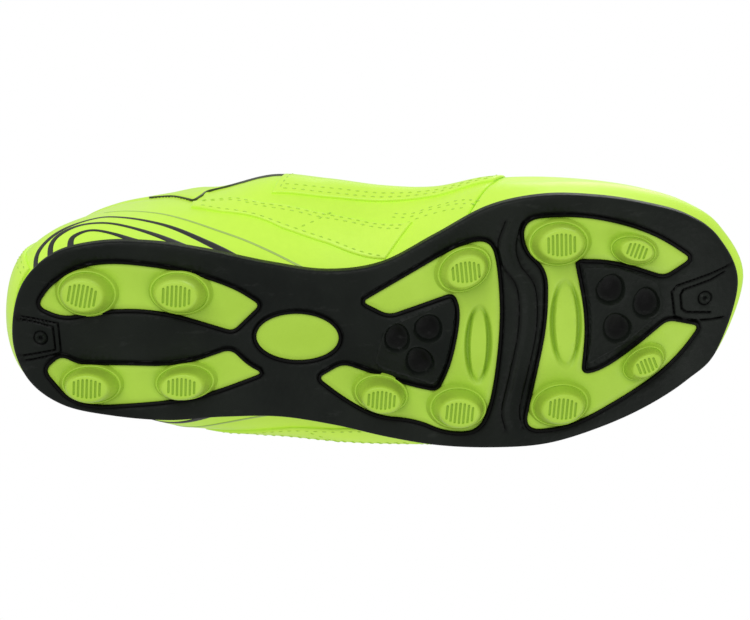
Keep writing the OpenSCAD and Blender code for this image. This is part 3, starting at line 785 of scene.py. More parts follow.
def join_into(obj, *others):
    """Joins the other objects' meshes into obj's."""
    b = bmesh.new()
    b.from_mesh(obj.data)
    for other in others:
        b.from_mesh(other.data)
    b.to_mesh(obj.data)
    b.free()
    for other in others:
        bpy.data.objects.remove(other)
    obj.data.polygons.foreach_set("use_smooth", [True] * len(obj.data.polygons))
    return obj


T_LOOP = np.linspace(0, LAST, 420)


def inset_edge(t, side, inset):
    edge = plate_edge(t, side)
    k = np.clip(np.floor(t).astype(int), 0, LAST - 1)
    centre = mix(SPINE[k], SPINE[k + 1], (t - k)[:, None])
    return edge - unit(edge - centre) * inset


EDGE_SHIFT = np.array([0.1, 0.45])      # from the CAD model's outline to the moulded edge


def sole_outline(inset, step=None):
    """The moulded plate's outline, which stands a little further out on its lateral side."""
    loop = np.concatenate([inset_edge(T_LOOP, MEDIAL, inset),
                           inset_edge(T_LOOP[-2:0:-1], LATERAL, inset)]) + EDGE_SHIFT
    return evenly(loop, step) if step else loop


WINDOWS = {
    "heel_insert_medial": evenly(eased(HEEL_WINDOW_MEDIAL), 0.9),
    "heel_insert_lateral": evenly(eased(HEEL_WINDOW_LATERAL), 0.9),
    "mid_insert": evenly(eased(MID_WINDOW), 0.9),
    "front_insert": evenly(eased(FRONT_WINDOW), 0.9),
    "waist_insert": oval(-26.7, 2.4, 13.7, 8, 5, 72),
}
# Long pads of two inserts [x, y, half length, half width, turn]: a moat round a raised oval
PADS = [[33.4, 6.9, 4.7, 14.0, 3], [62.6, 1.0, 5.6, 15.6, 0]]
PAD_RIM = 2.1
# Dimples of the black pads [x, y, half length, half width, turn]
DIMPLES = [
    [6.4, 4.0, 4.2, 5.0, 8], [17.0, 0.8, 4.6, 4.8, 28], [13.6, 12.2, 4.6, 5.0, -22],
    [77.6, -10.2, 4.8, 5.2, 20], [89.6, -4.6, 4.6, 5.4, -6], [79.6, 3.2, 4.7, 5.2, -24],
]
BLUNT = 0.12            # how much blunter a dimple is at one end

# Lines and rings that the mould leaves at both ends of the plate
HEEL_GATE = np.array([[-123, -9.6], [-113.5, -8.2], [-105.6, -6.4], [-105.4, 3.8], [-114.3, 5.8],
                      [-123, 7.4]])
HEEL_GATE_IN = np.array([[-119.5, -8.0], [-113.3, -7.0], [-107.4, -5.2], [-107.2, 2.7],
                         [-118.4, 4.7], [-123, 5.2]])
TOE_GATE = np.array([[124, -16.0], [112, -12.3], [100.2, -9.5], [98.4, -7.5], [99.4, 1.1],
                     [103, 2.9], [112, 3.5], [124, 3.0]])
TOE_GATE_IN = np.array([[117, -12.4], [112, -10.2], [102.4, -7.9], [101.4, -6.3], [101.8, -1.5],
                        [103.4, -0.1], [112, 1.0]])
GATES = [HEEL_GATE, HEEL_GATE_IN, TOE_GATE, TOE_GATE_IN]
GATE_RINGS = [[-111.9, -1.5], [110.0, -4.1]]
FINE_STEP = 0.35        # spacing of the plate's points beside the gate lines
GATES_FROM = 96         # the gate lines lie further out than this
# Step inside the edges of the two black pads
PAD_STEPS = [
    evenly(eased([[26.0, -8.8, 1.5], [26.0, -3.0, 6], [22.6, 12.6, 20], [18.4, 20.6, 1.5],
                  [9.0, 17.4, 10], [-2.0, 13.4, 4], [2.4, 0.4, 4]]), 0.8),
    evenly(eased([[69.3, 15.6, 1.5], [71.6, 0, 40], [68.6, -18.4, 1.5], [80.0, -17.8, 15],
                  [94.4, -11.2, 2], [95.6, -1.6, 3], [83.2, 8.6, 15]]), 0.8),
]
CHANNEL = along_line([[44.6, 36.6], [43.6, 30.0], [46.4, 18.0], [49.8, 2.0], [49.6, -12.0],
                      [44.8, -20.0], [43.6, -27.0], [46.2, -34.6]], 60)
CHANNEL_SIDES = [CHANNEL - [3.0, 0], CHANNEL + [3.0, 0]]


def egg(x, y, rx, ry, turn, n=36):
    """Outline of a dimple, blunter at one end than at the other."""
    a = np.linspace(0, 2 * np.pi, n, endpoint=False)
    px = rx * np.cos(a) * (1 + BLUNT * np.sin(a))
    py = ry * np.sin(a)
    turn = math.radians(turn)
    return np.stack([x + px * math.cos(turn) - py * math.sin(turn),
                     y + px * math.sin(turn) + py * math.cos(turn)], 1)


def across_and_along(p, x, y, rx, ry, turn):
    """Places in an ellipse's own axes, in shares of its half axes."""
    turn = math.radians(turn)
    dx = p[:, 0] - x
    dy = p[:, 1] - y
    u = (dx * math.cos(turn) + dy * math.sin(turn)) / rx
    v = (-dx * math.sin(turn) + dy * math.cos(turn)) / ry
    return u, v


def egg_radius(p, x, y, rx, ry, turn):
    """Distance from a dimple's centre, 1 on its outline."""
    u, v = across_and_along(p, x, y, rx, ry, turn)
    return np.hypot(u / (1 + BLUNT * v), v)


def egg_like(p, x, y, rx, ry, turn):
    """Distance from an ellipse's centre, 1 on the ellipse."""
    return np.hypot(*across_and_along(p, x, y, rx, ry, turn))


def line_groove(p, line, width, depth):
    """Depth of a groove along an open line."""
    d = distance_to(p, line, closed=False)
    return depth * (1 - ramp(d, 0.1 * width, 0.55 * width))


def windows_distance(p):
    """Distance to the nearest window's edge."""
    return np.min([distance_to(p, loop) for loop in WINDOWS.values()], axis=0)


EDGE_ROUND = 1.0        # how far the underside rises towards its edge


def plate_low(p):
    """Underside of the black plate, with its lips, dimples, gates and channel."""
    d_out = distance_to(p, sole_outline(0))
    d_win = windows_distance(p)
    z = underside(p[:, 0])
    z = z + EDGE_ROUND * (1 - round_off(d_out, 1.6))
    z = z - 0.45 * ramp(d_win, 0, 0.35) * (1 - ramp(d_win, 0.95, 1.25))
    z = z + 0.35 * ramp(d_win, 1.15, 1.4) * (1 - ramp(d_win, 1.6, 2.1))
    for dimple in DIMPLES:
        r = egg_radius(p, *dimple)
        z = z - 0.2 * bump(r, 1.06, 0.12)
        z = z + 1.9 * (1 - ramp(r, 0.84, 1.02)) + 0.7 * (1 - ramp(r, 0.1, 0.9))
    for line in GATES:
        z = z + line_groove(p, line, 0.9, 0.6)
    for x, y in GATE_RINGS:
        r = np.hypot(p[:, 0] - x, p[:, 1] - y)
        z = z + 0.5 * bump(r, 2.3, 0.5) - 0.5 * bump(r, 1.3, 0.7) + 0.6 * (1 - ramp(r, 0.2, 0.8))
    z = z + line_groove(p, CHANNEL, 3.8, 0.8)
    for line in CHANNEL_SIDES:
        z = z + line_groove(p, line, 0.8, 0.45)
    for loop in PAD_STEPS:
        z = z - 0.35 * bump(distance_to(p, loop), 0.0, 0.7) * inside(p, loop)
    return z


def plate_painted_shade(p):
    """Painted shade in the plate's grooves, dimples, gate marks and round its windows, 0 to 1."""
    d_win = windows_distance(p)
    dark = 1 - ramp(d_win, 1.4, 1.9)
    for dimple in DIMPLES:
        dark = np.maximum(dark, 0.9 * (1 - ramp(egg_radius(p, *dimple), 0.5, 1.04)))
    for line in GATES:
        dark = np.maximum(dark, line_groove(p, line, 1.3, 1.0))
    for x, y in GATE_RINGS:
        r = np.hypot(p[:, 0] - x, p[:, 1] - y)
        dark = np.maximum(dark, np.maximum(bump(r, 2.3, 0.6), 1 - ramp(r, 0.3, 0.9)))
    for line in CHANNEL_SIDES:
        dark = np.maximum(dark, line_groove(p, line, 1.0, 0.9))
    return dark


def plate_high(p):
    """Upper side of the black plate."""
    return underside(p[:, 0]) + PLATE


def clipped(line, loop):
    """The part of an open line that lies inside the loop, kept off its edge."""
    dense = along_line(line, 120)
    ok = inside(dense, loop) & (distance_to(dense, loop) > 0.4)
    return dense[ok]


def outsole_plate():
    """The black plate with its windows cut out."""
    edge = sole_outline(0, 1.0)
    holes = [evenly(loop, 0.9) for loop in WINDOWS.values()]
    rings = [offset(edge, -d) for d in (0.1, 0.35, 0.8, 1.6, 2.6)]
    for loop in holes:
        rings += [offset(loop, d) for d in (0.2, 0.4, 0.95, 1.25, 1.45, 1.7, 2.1)]
    for x, y, rx, ry, turn in DIMPLES:
        rings += [egg(x, y, rx * f, ry * f, turn, 40) for f in (1.18, 1.06, 0.97, 0.85, 0.72, 0.62)]
        rings += [egg(x, y, rx * f, ry * f, turn, 24) for f in (0.48, 0.34, 0.2)]
    for loop in PAD_STEPS:
        rings += [offset(loop, d) for d in (0, -0.25, -0.6, -0.9)]
    for x, y in GATE_RINGS:
        rings += [oval(x, y, r, r, 0, 24) for r in (2.8, 2.3, 1.9, 1.3, 0.8, 0.3)]
    inner = offset(edge, -3.0)
    lines = [clipped(CHANNEL, inner) + [shift, 0]
             for shift in (-3.3, -3.0, -2.7, -1.7, -0.9, 0, 0.9, 1.7, 2.7, 3.0, 3.3)]
    close = fill_grid(inner, FINE_STEP)
    close = close[np.abs(close[:, 0]) > GATES_FROM]
    near_gate = np.min([distance_to(close, gate, closed=False) for gate in GATES], axis=0)
    close = close[(near_gate < 1.0) & (windows_distance(close) > 2.4)]
    rings = [r for r in rings if len(r) > 3]
    lines = [line for line in lines if len(line) > 2]
    loose = np.concatenate([fill_grid(inner, 2.2), close])
    flat, triangles = triangulate(edge, holes, rings, lines, loose)
    obj = slab("outsole_plate_shell", flat, triangles, plate_low, plate_high, BLACK, plate_painted_shade,
               slot="black_tpu", angle=50)
    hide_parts("outsole_plate")
    return obj


def sidewall():
    """The plate's edge: a rounded wall that cups the foot of the upper."""
    t = np.concatenate([T_LOOP, T_LOOP[-2:0:-1]])
    edge = np.concatenate([plate_edge(T_LOOP, MEDIAL), plate_edge(T_LOOP[-2:0:-1], LATERAL)])
    centre = np.stack([np.interp(t, range(LAST + 1), SPINE[:, k]) for k in (0, 1)], 1)
    n = unit(edge - centre)
    z = underside(edge[:, 0])
    edge = edge + EDGE_SHIFT
    # outward shift and height above the underside of each ring of the wall
    profile = [(-3.4, 1.6), (-0.4, 0.8), (-0.02, 0.95), (0.1, 1.5), (0.05, 2.1), (-0.15, 2.8),
               (-0.45, 3.4), (-0.8, 3.8), (-1.2, 4.0), (-1.7, 4.1), (-2.2, 3.9), (-3.4, 3.6)]
    rings = [np.column_stack([edge + n * out, z + up]) for out, up in profile]
    points = np.concatenate(rings)
    columns = len(edge)
    faces = grid_faces(len(profile), columns, closed=True)
    last = (len(profile) - 1) * columns
    faces += [(last + j, last + (j + 1) % columns, (j + 1) % columns, j) for j in range(columns)]
    obj = new_object("outsole_sidewall", points, faces, BLACK, slot="black_tpu")
    return outward_faces(obj)


# ---------------------------------------------------------------- inserts and studs
def insert_low(studs, pads, loop):
    """The height function of an insert's underside."""
    def low(p):
        z = underside(p[:, 0]) + WINDOW_RECESS
        d = distance_to(p, loop)
        z = z - 0.35 * ramp(d, 0.2, 1.6)
        for x, y, rx, ry, turn, *_ in studs:
            r = egg_like(p, x, y, rx, ry, turn)
            z = z + 0.35 * (1 - ramp(r, 1.02, 1.3))
        for pad in pads:
            z = z + 1.6 * pad_moat(p, pad)
        return z

    return low


def pad_moat(p, pad):
    """1 in the middle of a pad's moat and 0 outside it and on the raised oval."""
    x, y, rx, ry, turn = pad
    outer = egg_like(p, x, y, rx, ry, turn)
    inner = egg_like(p, x, y, rx - PAD_RIM, ry - PAD_RIM, turn)
    return (1 - ramp(outer, 0.82, 1.04)) * ramp(inner, 0.94, 1.22)


def insert_painted_shade(studs, pads):
    """Painted shade in an insert's moats round its studs and pads, 0 to 1."""
    def painted_shade(p):
        dark = np.zeros(len(p))
        for x, y, rx, ry, turn, *_ in studs:
            r = egg_like(p, x, y, rx, ry, turn)
            dark = np.maximum(dark, 0.35 * (1 - ramp(r, 1.0, 1.2)))
        for pad in pads:
            dark = np.maximum(dark, 0.75 * pad_moat(p, pad))
        return dark

    return painted_shade


GROOVE_PITCH = 1.4      # spacing of the grooves in a stud's tip


def stud_tip(rx, ry, groove_turn):
    """The stud's flat tip with its grooves, as flat points, triangles and depths."""
    rim = oval(0, 0, rx, ry, 0, 64)
    turn = math.radians(groove_turn)
    spin = np.array([[math.cos(turn), math.sin(turn)], [-math.sin(turn), math.cos(turn)]])
    segments = []
    count = int(rx * 0.8 / GROOVE_PITCH)
    for k in range(-count, count + 1):
        x = k * GROOVE_PITCH
        half = ry * 0.86 * math.sqrt(max(1 - (x / rx)**2, 0)) - 0.5
        if half > 0.8:
            segments.append((np.array([x, -half]), np.array([x, half])))
    rings = []
    for a, b in segments:
        for width in (0.42, 0.24):
            arc = np.linspace(0, np.pi, 6)
            top = np.stack([np.cos(arc), np.sin(arc)], 1) * width + b
            low = -np.stack([np.cos(arc), np.sin(arc)], 1) * width + a
            rings.append(np.concatenate([top, low]) @ spin)
    lines = [(np.stack([a, b]) @ spin) for a, b in segments]
    flat, triangles = triangulate(rim, [], rings, [], fill_grid(rim * 0.9, 1.6))
    d = np.min([distance_to(flat, line, closed=False) for line in lines], axis=0)
    depth = 0.5 * (1 - ramp(d, 0.2, 0.42))
    return flat, triangles, depth


def stud(name, x, y, rx, ry, turn, lift, groove_turn):
    """A moulded stud: raised ring round its root, moat, tapered body and grooved tip."""
    base = float(underside(np.array([x]))[0])
    tip = lift
    # share of the half widths, height, how far the ring leans, and how much painted shade it gets
    profile = [
        (1.14, base + 0.9, 0, 0.25), (1.07, base + 0.15, 0, 0.4), (1.02, base - 0.55, 0, 0.35),
        (1.0, base - 0.95, 0, 0.1), (0.985, base - 1.12, 0, 0), (0.965, base - 1.15, 0, 0),
        (0.945, base - 1.08, 0, 0.1), (0.93, base - 0.95, 0, 0.3), (0.915, base - 1.05, 0, 0.3),
        (0.9, base - 1.7, 0.05, 0.2), (0.875, base - 3.2, 0.2, 0.12),
        (0.83, mix(base, tip, 0.55), 0.5, 0.08), (0.775, tip + 2.4, 0.8, 0.04),
        (0.745, tip + 1.3, 0.9, 0), (0.70, tip + 0.55, 0.97, 0), (0.66, tip + 0.15, 1, 0),
        (0.62, tip, 1, 0),
    ]
    n = 64
    rings = []
    paint = []
    c, s = math.cos(math.radians(turn)), math.sin(math.radians(turn))
    turned = np.array([[c, s], [-s, c]])
    for share, z, lean, dark in profile:
        ring = oval(0, 0, rx * share, ry * share, 0, n) @ turned - [0, STUD_LEAN * lean]
        rings.append(np.column_stack([ring, np.full(n, z)]))
        paint += [dark] * n
    points = np.concatenate(rings)
    faces = [f[::-1] for f in grid_faces(len(profile), n, closed=True)]
    flat, triangles, depth = stud_tip(rx * 0.62, ry * 0.62, groove_turn)
    flat = flat @ turned - [0, STUD_LEAN]
    start = len(points)
    points = np.concatenate([points, np.column_stack([flat, tip + depth])])
    # painted shade in the tip's grooves
    paint += (depth * 1.1).tolist()
    faces += [tuple(start + i for i in f[::-1]) for f in triangles.tolist()]
    faces.append(tuple(range(n)))
    obj = new_object(name, points + [x, y, 0], faces, GREEN, angle=50)
    attribute = obj.data.attributes.new("painted_shade", "FLOAT", "POINT")
    attribute.data.foreach_set("value", np.array(paint, np.float32))
    return outward_faces(obj)


def insert(node, studs, pads):
    """A green insert in its window, with its studs joined on."""
    loop = WINDOWS[node]
    rings = [offset(loop, -d) for d in (0.3, 0.9, 1.6)]
    for x, y, rx, ry, turn, *_ in studs:
        rings += [oval(x, y, rx * f, ry * f, turn, 56) for f in (1.3, 1.2, 1.1, 1.03, 0.9)]
    for x, y, rx, ry, turn in pads:
        rings += [oval(x, y, rx * f, ry * f, turn, 64) for f in (1.06, 0.98, 0.9, 0.82)]
        rings += [oval(x, y, (rx - PAD_RIM) * f, (ry - PAD_RIM) * f, turn, 56)
                  for f in (1.22, 1.13, 1.04, 0.95, 0.6)]
    rings = [r[inside(r, loop) & (distance_to(r, loop) > 0.25)] for r in rings]
    lines = []
    for r in rings:
        if len(r) < 4:
            continue
        jump = np.linalg.norm(np.roll(r, -1, 0) - r, axis=1)
        cut = np.where(jump > 3 * np.median(jump) + 0.2)[0]
        if len(cut) == 0:
            lines.append(np.vstack([r, r[:1]]))
            continue
        r = np.roll(r, -(cut[0] + 1), 0)
        jump = np.linalg.norm(np.diff(r, axis=0), axis=1)
        parts = np.split(r, np.where(jump > 3 * np.median(jump) + 0.2)[0] + 1)
        lines += [part for part in parts if len(part) > 1]
    flat, triangles = triangulate(loop, [], [], lines, fill_grid(offset(loop, -1.0), 2.0))
    obj = slab(node + "_shell", flat, triangles, insert_low(studs, pads, loop),
               lambda p: underside(p[:, 0]) + PLATE - 0.05, GREEN, insert_painted_shade(studs, pads),
               slot="green_tpu", angle=50)
    parts = [stud(f"{node}_stud{k}", *s) for k, s in enumerate(studs)]
    if parts:
        join_into(obj, *parts)
    obj.data.set_sharp_from_angle(angle=math.radians(50))
    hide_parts(node)
    return obj


def build_sole():
    """The plate, its wall and the five inserts."""
    outsole_plate()
    sidewall()
    insert("heel_insert_medial", STUDS["heel_insert_medial"], [])
    insert("heel_insert_lateral", STUDS["heel_insert_lateral"], [])
    insert("waist_insert", [], [])
    insert("mid_insert", STUDS["mid_insert"], PADS[:1])
    insert("front_insert", STUDS["front_insert"], PADS[1:])


build_sole()


# ---------------------------------------------------------------- forefoot
def grid_normals(grid, folded):
    """Outward normals of a grid of points over the forefoot. Folded joins the last row's halves."""
    n = np.cross(np.diff(grid, axis=0)[:, :-1] + np.diff(grid, axis=0)[:, 1:],
                 np.diff(grid, axis=1)[:-1] + np.diff(grid, axis=1)[1:])
    total = np.zeros(grid.shape)
    total[:-1, :-1] += n
    total[1:, :-1] += n
    total[:-1, 1:] += n
    total[1:, 1:] += n
    if folded:
        total[-1] = total[-1] + total[-1, ::-1]
    return unit(total)


VAMP_LENGTH = 95
VAMP_EDGE = 0.8         # radius of the rounded rear edge


def vamp_layer(name, first, final, top, bottom, material, count=(56, 34), rear=True, **options):
    """A layer over both sides of the forefoot, joined along the ridge and round the toe."""
    steps = edge_steps(count[0], VAMP_LENGTH * (final - first), VAMP_EDGE, rear, False)
    f = mix(first, final, steps)[:, None]
    s = np.linspace(-1, 1, 2 * count[1] + 1)[None, :]
    f, s = np.broadcast_arrays(f, s)
    h = 1 - np.abs(s)
    t = mix(mix(VAMP_FOOT, LAST, f), mix(THROAT, LAST, f), h)
    share = round_off((f - first) * VAMP_LENGTH, VAMP_EDGE) if rear else np.ones(f.shape)

    base = np.empty(f.shape + (3,))
    for side, half in ((MEDIAL, slice(0, count[1] + 1)), (LATERAL, slice(count[1], None))):
        place = (slice(None), half)
        base[place] = face(t[place], side, h[place])
    nrm = grid_normals(base, final == 1)

    def layer(depth):
        return base - nrm * depth[..., None]

    outer = layer(mix(bottom, top, 0.06 + 0.94 * share))
    inner = layer(np.full(f.shape, float(bottom)))
    return shell(name, outer, inner, material, folded=final == 1, **options)


def build_forefoot():
    """The vamp's skin and the layers under it."""
    vamp = vamp_layer("vamp_skin", 0, 1, 0, SKIN, NEON, slot="neon_synthetic")
    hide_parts("vamp")
    split = 7 / 20
    depth = MIDDLE_DEPTH + MIDDLE
    pad = vamp_layer("vamp_padding", 0, split, MIDDLE_DEPTH, depth, FOAM, (16, 24), False,
                     slot="white_foam")
    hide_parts("vamp_foam")
    puff = vamp_layer("toe_puff_shell", split, 1, MIDDLE_DEPTH, depth, FIBRE, (30, 24), False,
                      slot="fibre_board")
    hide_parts("toe_puff")
    lining = vamp_layer("vamp_inner", 0, 1, LINING_DEPTH, LINING_DEPTH + LINING, MESH_LINING,
                        (40, 26), False, slot="lining_textile")
    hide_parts("vamp_lining")


# ---------------------------------------------------------------- quarters and overlays
COLLAR_SEAM = [(1.2, 0.88), (2.2, 0.87), (3.0, 0.88), (3.65, 0.87), (4.1, 0.76), (4.5, 0.58),
               (4.62, 0.54), (4.74, 0.61), (4.88, 0.70), (5.3, 0.71), (5.7, 0.69), (6.4, 0.66)]


def above_seam(t, h):
    """How far a place is into the collar's panel, 0 below its seam and 1 above it."""
    seam = np.interp(t, *np.array(COLLAR_SEAM).T)
    return ramp(h, seam - 0.005, seam + 0.03) * (1 - ramp(t, 6.0, 6.5)) * ramp(t, 0.8, 1.4)


def quarter_relief(t, h):
    """Height of the quarters' relief: the collar's puff, less a dip in the lowest row's front end."""
    puff = 0.75 * above_seam(t, h) * (1 - ramp(h, 0.9, 1))
    return puff - 0.45 * ramp(t, 8.6, 9.4) * bump(h, 0.0, 0.001)


def columns(k):
    return k * QUARTER_END / REAR_COLUMNS


def rear_panel(name, side, column, row, top, bottom, material, count, edges, **options):
    """A panel of the quarters between two columns and two rows of the CAD model's grid."""
    t0, t1 = columns(column[0]), columns(column[1])
    h0, h1 = row[0] / REAR_ROWS, row[1] / REAR_ROWS

    def place(u, v):
        return quarter_place(mix(t0, t1, u), mix(h0, h1, v))

    h_middle = np.full(40, (h0 + h1) / 2)
    t_middle = quarter_place(np.linspace(t0, t1, 40), h_middle)[0]
    middle = under(t_middle, side, h_middle, 0)
    rise = face(np.full(20, (t0 + t1) / 2), side, np.linspace(h0, h1, 20))
    size = (length_of(middle), length_of(rise))
    return panel(name, side, place, size, count, top, bottom, material, edges=edges, **options)


def eyelet_place(k, side):
    t = np.array(mix(10.35, 7.05, k / (EYELETS - 1)))
    rise = face(t, side, 1.0) - face(t, side, 0.8)
    h = 1 - EYELET_SETBACK / np.linalg.norm(rise) * 0.2
    return t, h


def eyelet_cutter(side):
    """Twenty-sided pins along the axes of one side's lace holes."""
    points = []
    faces = []
    n = 20
    for k in range(EYELETS):
        t, h = eyelet_place(k, side)
        axis = normal(t, side, h)
        u = unit(np.cross(axis, [1, 0, 0]))
        v = np.cross(axis, u)
        a = np.linspace(0, 2 * np.pi, n, endpoint=False)[:, None]
        ring = 2.0 * (u * np.cos(a) + v * np.sin(a))
        start = len(points)
        points += list(under(t, side, h, 7.0) + ring) + list(under(t, side, h, -4.0) + ring)
        faces += [(start + j, start + (j + 1) % n, start + n + (j + 1) % n, start + n + j)
                  for j in range(n)]
        faces += [tuple(range(start + n - 1, start - 1, -1)), tuple(range(start + n, start + 2 * n))]
    return outward_faces(new_object("cutter", points, faces, NEON))


def punch(pieces, side):
    """Cuts one side's lace holes through the pieces."""
    cutter = eyelet_cutter(side)
    for piece in pieces:
        cut = piece.modifiers.new("holes", "BOOLEAN")
        cut.operation = "DIFFERENCE"
        cut.solver = "EXACT"
        cut.object = cutter
    bpy.context.view_layer.update()
    graph = bpy.context.evaluated_depsgraph_get()
    for piece in pieces:
        mesh = bpy.data.meshes.new_from_object(piece.evaluated_get(graph))
        piece.modifiers.clear()
        piece.data = mesh
        mesh.polygons.foreach_set("use_smooth", [True] * len(mesh.polygons))
        mesh.set_sharp_from_angle(angle=math.radians(40))
    bpy.data.objects.remove(cutter)


def pad_floor(t, h):
    return LINING_DEPTH - 0.05 + padding(t, h)


def build_quarter(word):
    side = SIDES[word]
    skin = rear_panel("quarter_skin_" + word, side, (0, 22), (0, 12), 0, SKIN, NEON, (130, 52),
                      (False, True, False, True), radius=0.7, relief=quarter_relief,
                      slot="neon_synthetic")
    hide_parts("quarter_" + word)
    lining = rear_panel("quarter_inner_" + word, side, (0, 22), (0, 12),
                        lambda t, h: pad_floor(t, h) + 0.05,
                        lambda t, h: pad_floor(t, h) + 0.05 + LINING, MESH_LINING, (90, 44),
                        (False, False, False, False), slot="lining_textile")
    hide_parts("quarter_lining_" + word)
    pad = rear_panel("quarter_padding_" + word, side, (7, 22), (0, 8), MIDDLE_DEPTH,
                     LINING_DEPTH - 0.05, FOAM, (50, 20), (False,) * 4, slot="white_foam")
    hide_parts("quarter_foam_" + word)
    tape = rear_panel("eyelet_stay_" + word, side, (13, 22), (8, 12), MIDDLE_DEPTH,
                      LINING_DEPTH - 0.05, TAPE, (40, 12), (False,) * 4, slot="stay_tape")
    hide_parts("eyelet_tape_" + word)
    stay = rear_panel("eyestay_panel_" + word, side, (13, 22), (5, 12), -0.02 - OVERLAY, -0.02,
                      NEON_OVERLAY, (64, 34), (True,) * 4, radius=0.8, slot="neon_synthetic")
    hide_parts("eyestay_" + word)
    punch([skin, lining, tape, stay], side)

    low = np.array([[4.6, 0.42], [5.15, 0.32], [6.2, 0.19], [7, 0.14], [8.1, 0.02]])
    high = np.array([[4.6, 0.5], [5.3, 0.45], [5.85, 0.34], [7.5, 0.28], [8.6, 0.2]])

    def place(u, v):
        t_low = mix(low[0, 0], low[-1, 0], u)
        t_high = mix(high[0, 0], high[-1, 0], u)
        h_low = np.interp(t_low, *low.T)
        h_high = np.interp(t_high, *high.T)
        return mix(t_low, t_high, v), mix(h_low, h_high, v)

    saddle = panel("saddle_panel_" + word, side, place, (72, 11), (60, 12), -0.02 - OVERLAY, -0.02,
                   NEON_OVERLAY, radius=0.8, slot="neon_synthetic")
    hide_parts("saddle_" + word)


def both_sides(name, column, row, top, bottom, material, count, edges, **options):
    """A layer that goes round the heel; its columns count from the heel centre both ways."""
    t0, t1 = columns(column[0]), columns(column[1])
    h0, h1 = row[0] / REAR_ROWS, row[1] / REAR_ROWS

    def place(u, v):
        return quarter_place(mix(t0, t1, u), mix(h0, h1, v))

    h = (h0 + h1) / 2
    across = face(quarter_place(np.linspace(t0, t1, 40), h)[0], MEDIAL, np.full(40, h))
    rise = face(np.zeros(20), MEDIAL, np.linspace(h0, h1, 20))
    return panel(name, MEDIAL, place, (length_of(across), length_of(rise)), count, top, bottom,
                 material, edges=edges, **options)


def build_heel():
    counter = both_sides("heel_counter_shell", (-7, 7), (0, 8), MIDDLE_DEPTH, pad_floor, FIBRE,
                         (60, 24), (False,) * 4, slot="fibre_board")
    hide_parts("heel_counter")
    pad = both_sides("collar_padding", (-13, 13), (8, 12), MIDDLE_DEPTH, pad_floor, FOAM,
                     (110, 16), (False,) * 4, slot="white_foam")
    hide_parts("collar_pad")
    stay = both_sides("backstay_panel", (-3, 3), (1, 10), -0.02 - OVERLAY, -0.02, NEON_OVERLAY,
                      (40, 40), (True,) * 4, radius=0.8, slot="neon_synthetic")
    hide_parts("backstay")
    tab = both_sides("heel_tab_panel", (-1, 1), (9.4, 12), -0.05 - 2 * OVERLAY, -0.9, NEON_OVERLAY,
                     (14, 14), (True,) * 4, radius=0.8, slot="neon_synthetic")
    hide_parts("heel_tab")


def tube(name, path, across, radii, material, sides, **options):
    """A tube of oval section along a path. across gives the section's first axis at each point."""
    path = np.asarray(path, float)
    d = unit(np.gradient(path, axis=0))
    u = unit(across - (across * d).sum(1, keepdims=True) * d)
    v = np.cross(d, u)
    a = np.linspace(0, 2 * np.pi, sides, endpoint=False)
    radii = np.broadcast_to(np.asarray(radii, float), (len(path), 2))
    rings = (path[:, None] + u[:, None] * (radii[:, 0:1] * np.cos(a))[..., None]
             + v[:, None] * (radii[:, 1:2] * np.sin(a))[..., None])
    faces = grid_faces(len(path), sides, closed=True)
    last = (len(path) - 1) * sides
    faces += [tuple(range(sides)), tuple(range(last + sides - 1, last - 1, -1))]
    return outward_faces(new_object(name, rings.reshape(-1, 3), faces, material, **options))


def build_collar_roll():
    """The folded edge of the collar, from one end of the lacing round the heel to the other."""
    t = np.linspace(-6.9, 6.9, 240)
    one = np.ones(len(t))
    centre = under(t, MEDIAL, one, 1.65 * one)
    n = normal(t, MEDIAL, one)
    taper = 1 - 0.45 * ramp(np.abs(t), 6.2, 6.9)
    radii = np.column_stack([2.05 * taper, 1.7 * taper])
    tube("collar_roll", centre, n, radii, NEON, sides=18, slot="neon_synthetic")


# ---------------------------------------------------------------- printed bands and stitching
def on_surface(line, n):
    """A smooth line of (t, h) places, given as a list of them or as an array already dense."""
    return along_line(np.array(line), n)


def relaxed(line, rounds):
    """A line smoothed by repeated averaging, with its ends kept."""
    line = np.array(line)
    for _ in range(rounds):
        line[1:-1] = (line[:-2] + 2 * line[1:-1] + line[2:]) / 4
    return line


def band(name, side, line, half, lift, material, n=70, smooth=0, **options):
    """A thin raised strip along a line of (t, h) places. half is its half width along it."""
    place = relaxed(on_surface(line, n), smooth)
    t, h = place.T
    half = np.interp(np.linspace(0, 1, n), np.linspace(0, 1, len(half)), half)
    p = face(t, side, h)
    nrm = normal(t, side, h)
    d = unit(np.gradient(p, axis=0))
    b = np.cross(nrm, d)
    across = np.array([-1, -0.85, -0.4, 0, 0.4, 0.85, 1])
    rise = np.array([0.02, 0.85, 1, 1, 1, 0.85, 0.02]) * lift
    outer = p[:, None] + b[:, None] * (half[:, None] * across)[..., None] + nrm[:, None] * rise[:, None]
    inner = p[:, None] + b[:, None] * (half[:, None] * across)[..., None] - nrm[:, None] * 0.25
    return shell(name, outer, inner, material, **options)


STRIPES = [
    [(2.35, 0.0), (2.37, 0.08), (2.45, 0.14), (2.8, 0.18), (3.2, 0.11), (3.55, 0.03), (3.7, 0)],
    [(1.85, 0.0), (1.9, 0.12), (2.05, 0.19), (2.3, 0.24), (2.65, 0.28), (3.1, 0.25), (3.65, 0.16),
     (4.25, 0.05), (4.55, 0)],
    [(1.4, 0.0), (1.5, 0.14), (1.65, 0.18), (2.0, 0.24), (2.9, 0.36), (3.25, 0.33), (3.65, 0.29),
     (4.25, 0.19), (4.8, 0.09), (5.4, 0)],
]
GREY_LINE = [(3.0, 0.465), (3.15, 0.46), (3.5, 0.44), (3.9, 0.39), (4.5, 0.27), (5.1, 0.17),
             (5.7, 0.10), (6.3, 0.04), (6.7, 0.0)]


BAND_ROUNDS = 14        # smoothing of the printed bands


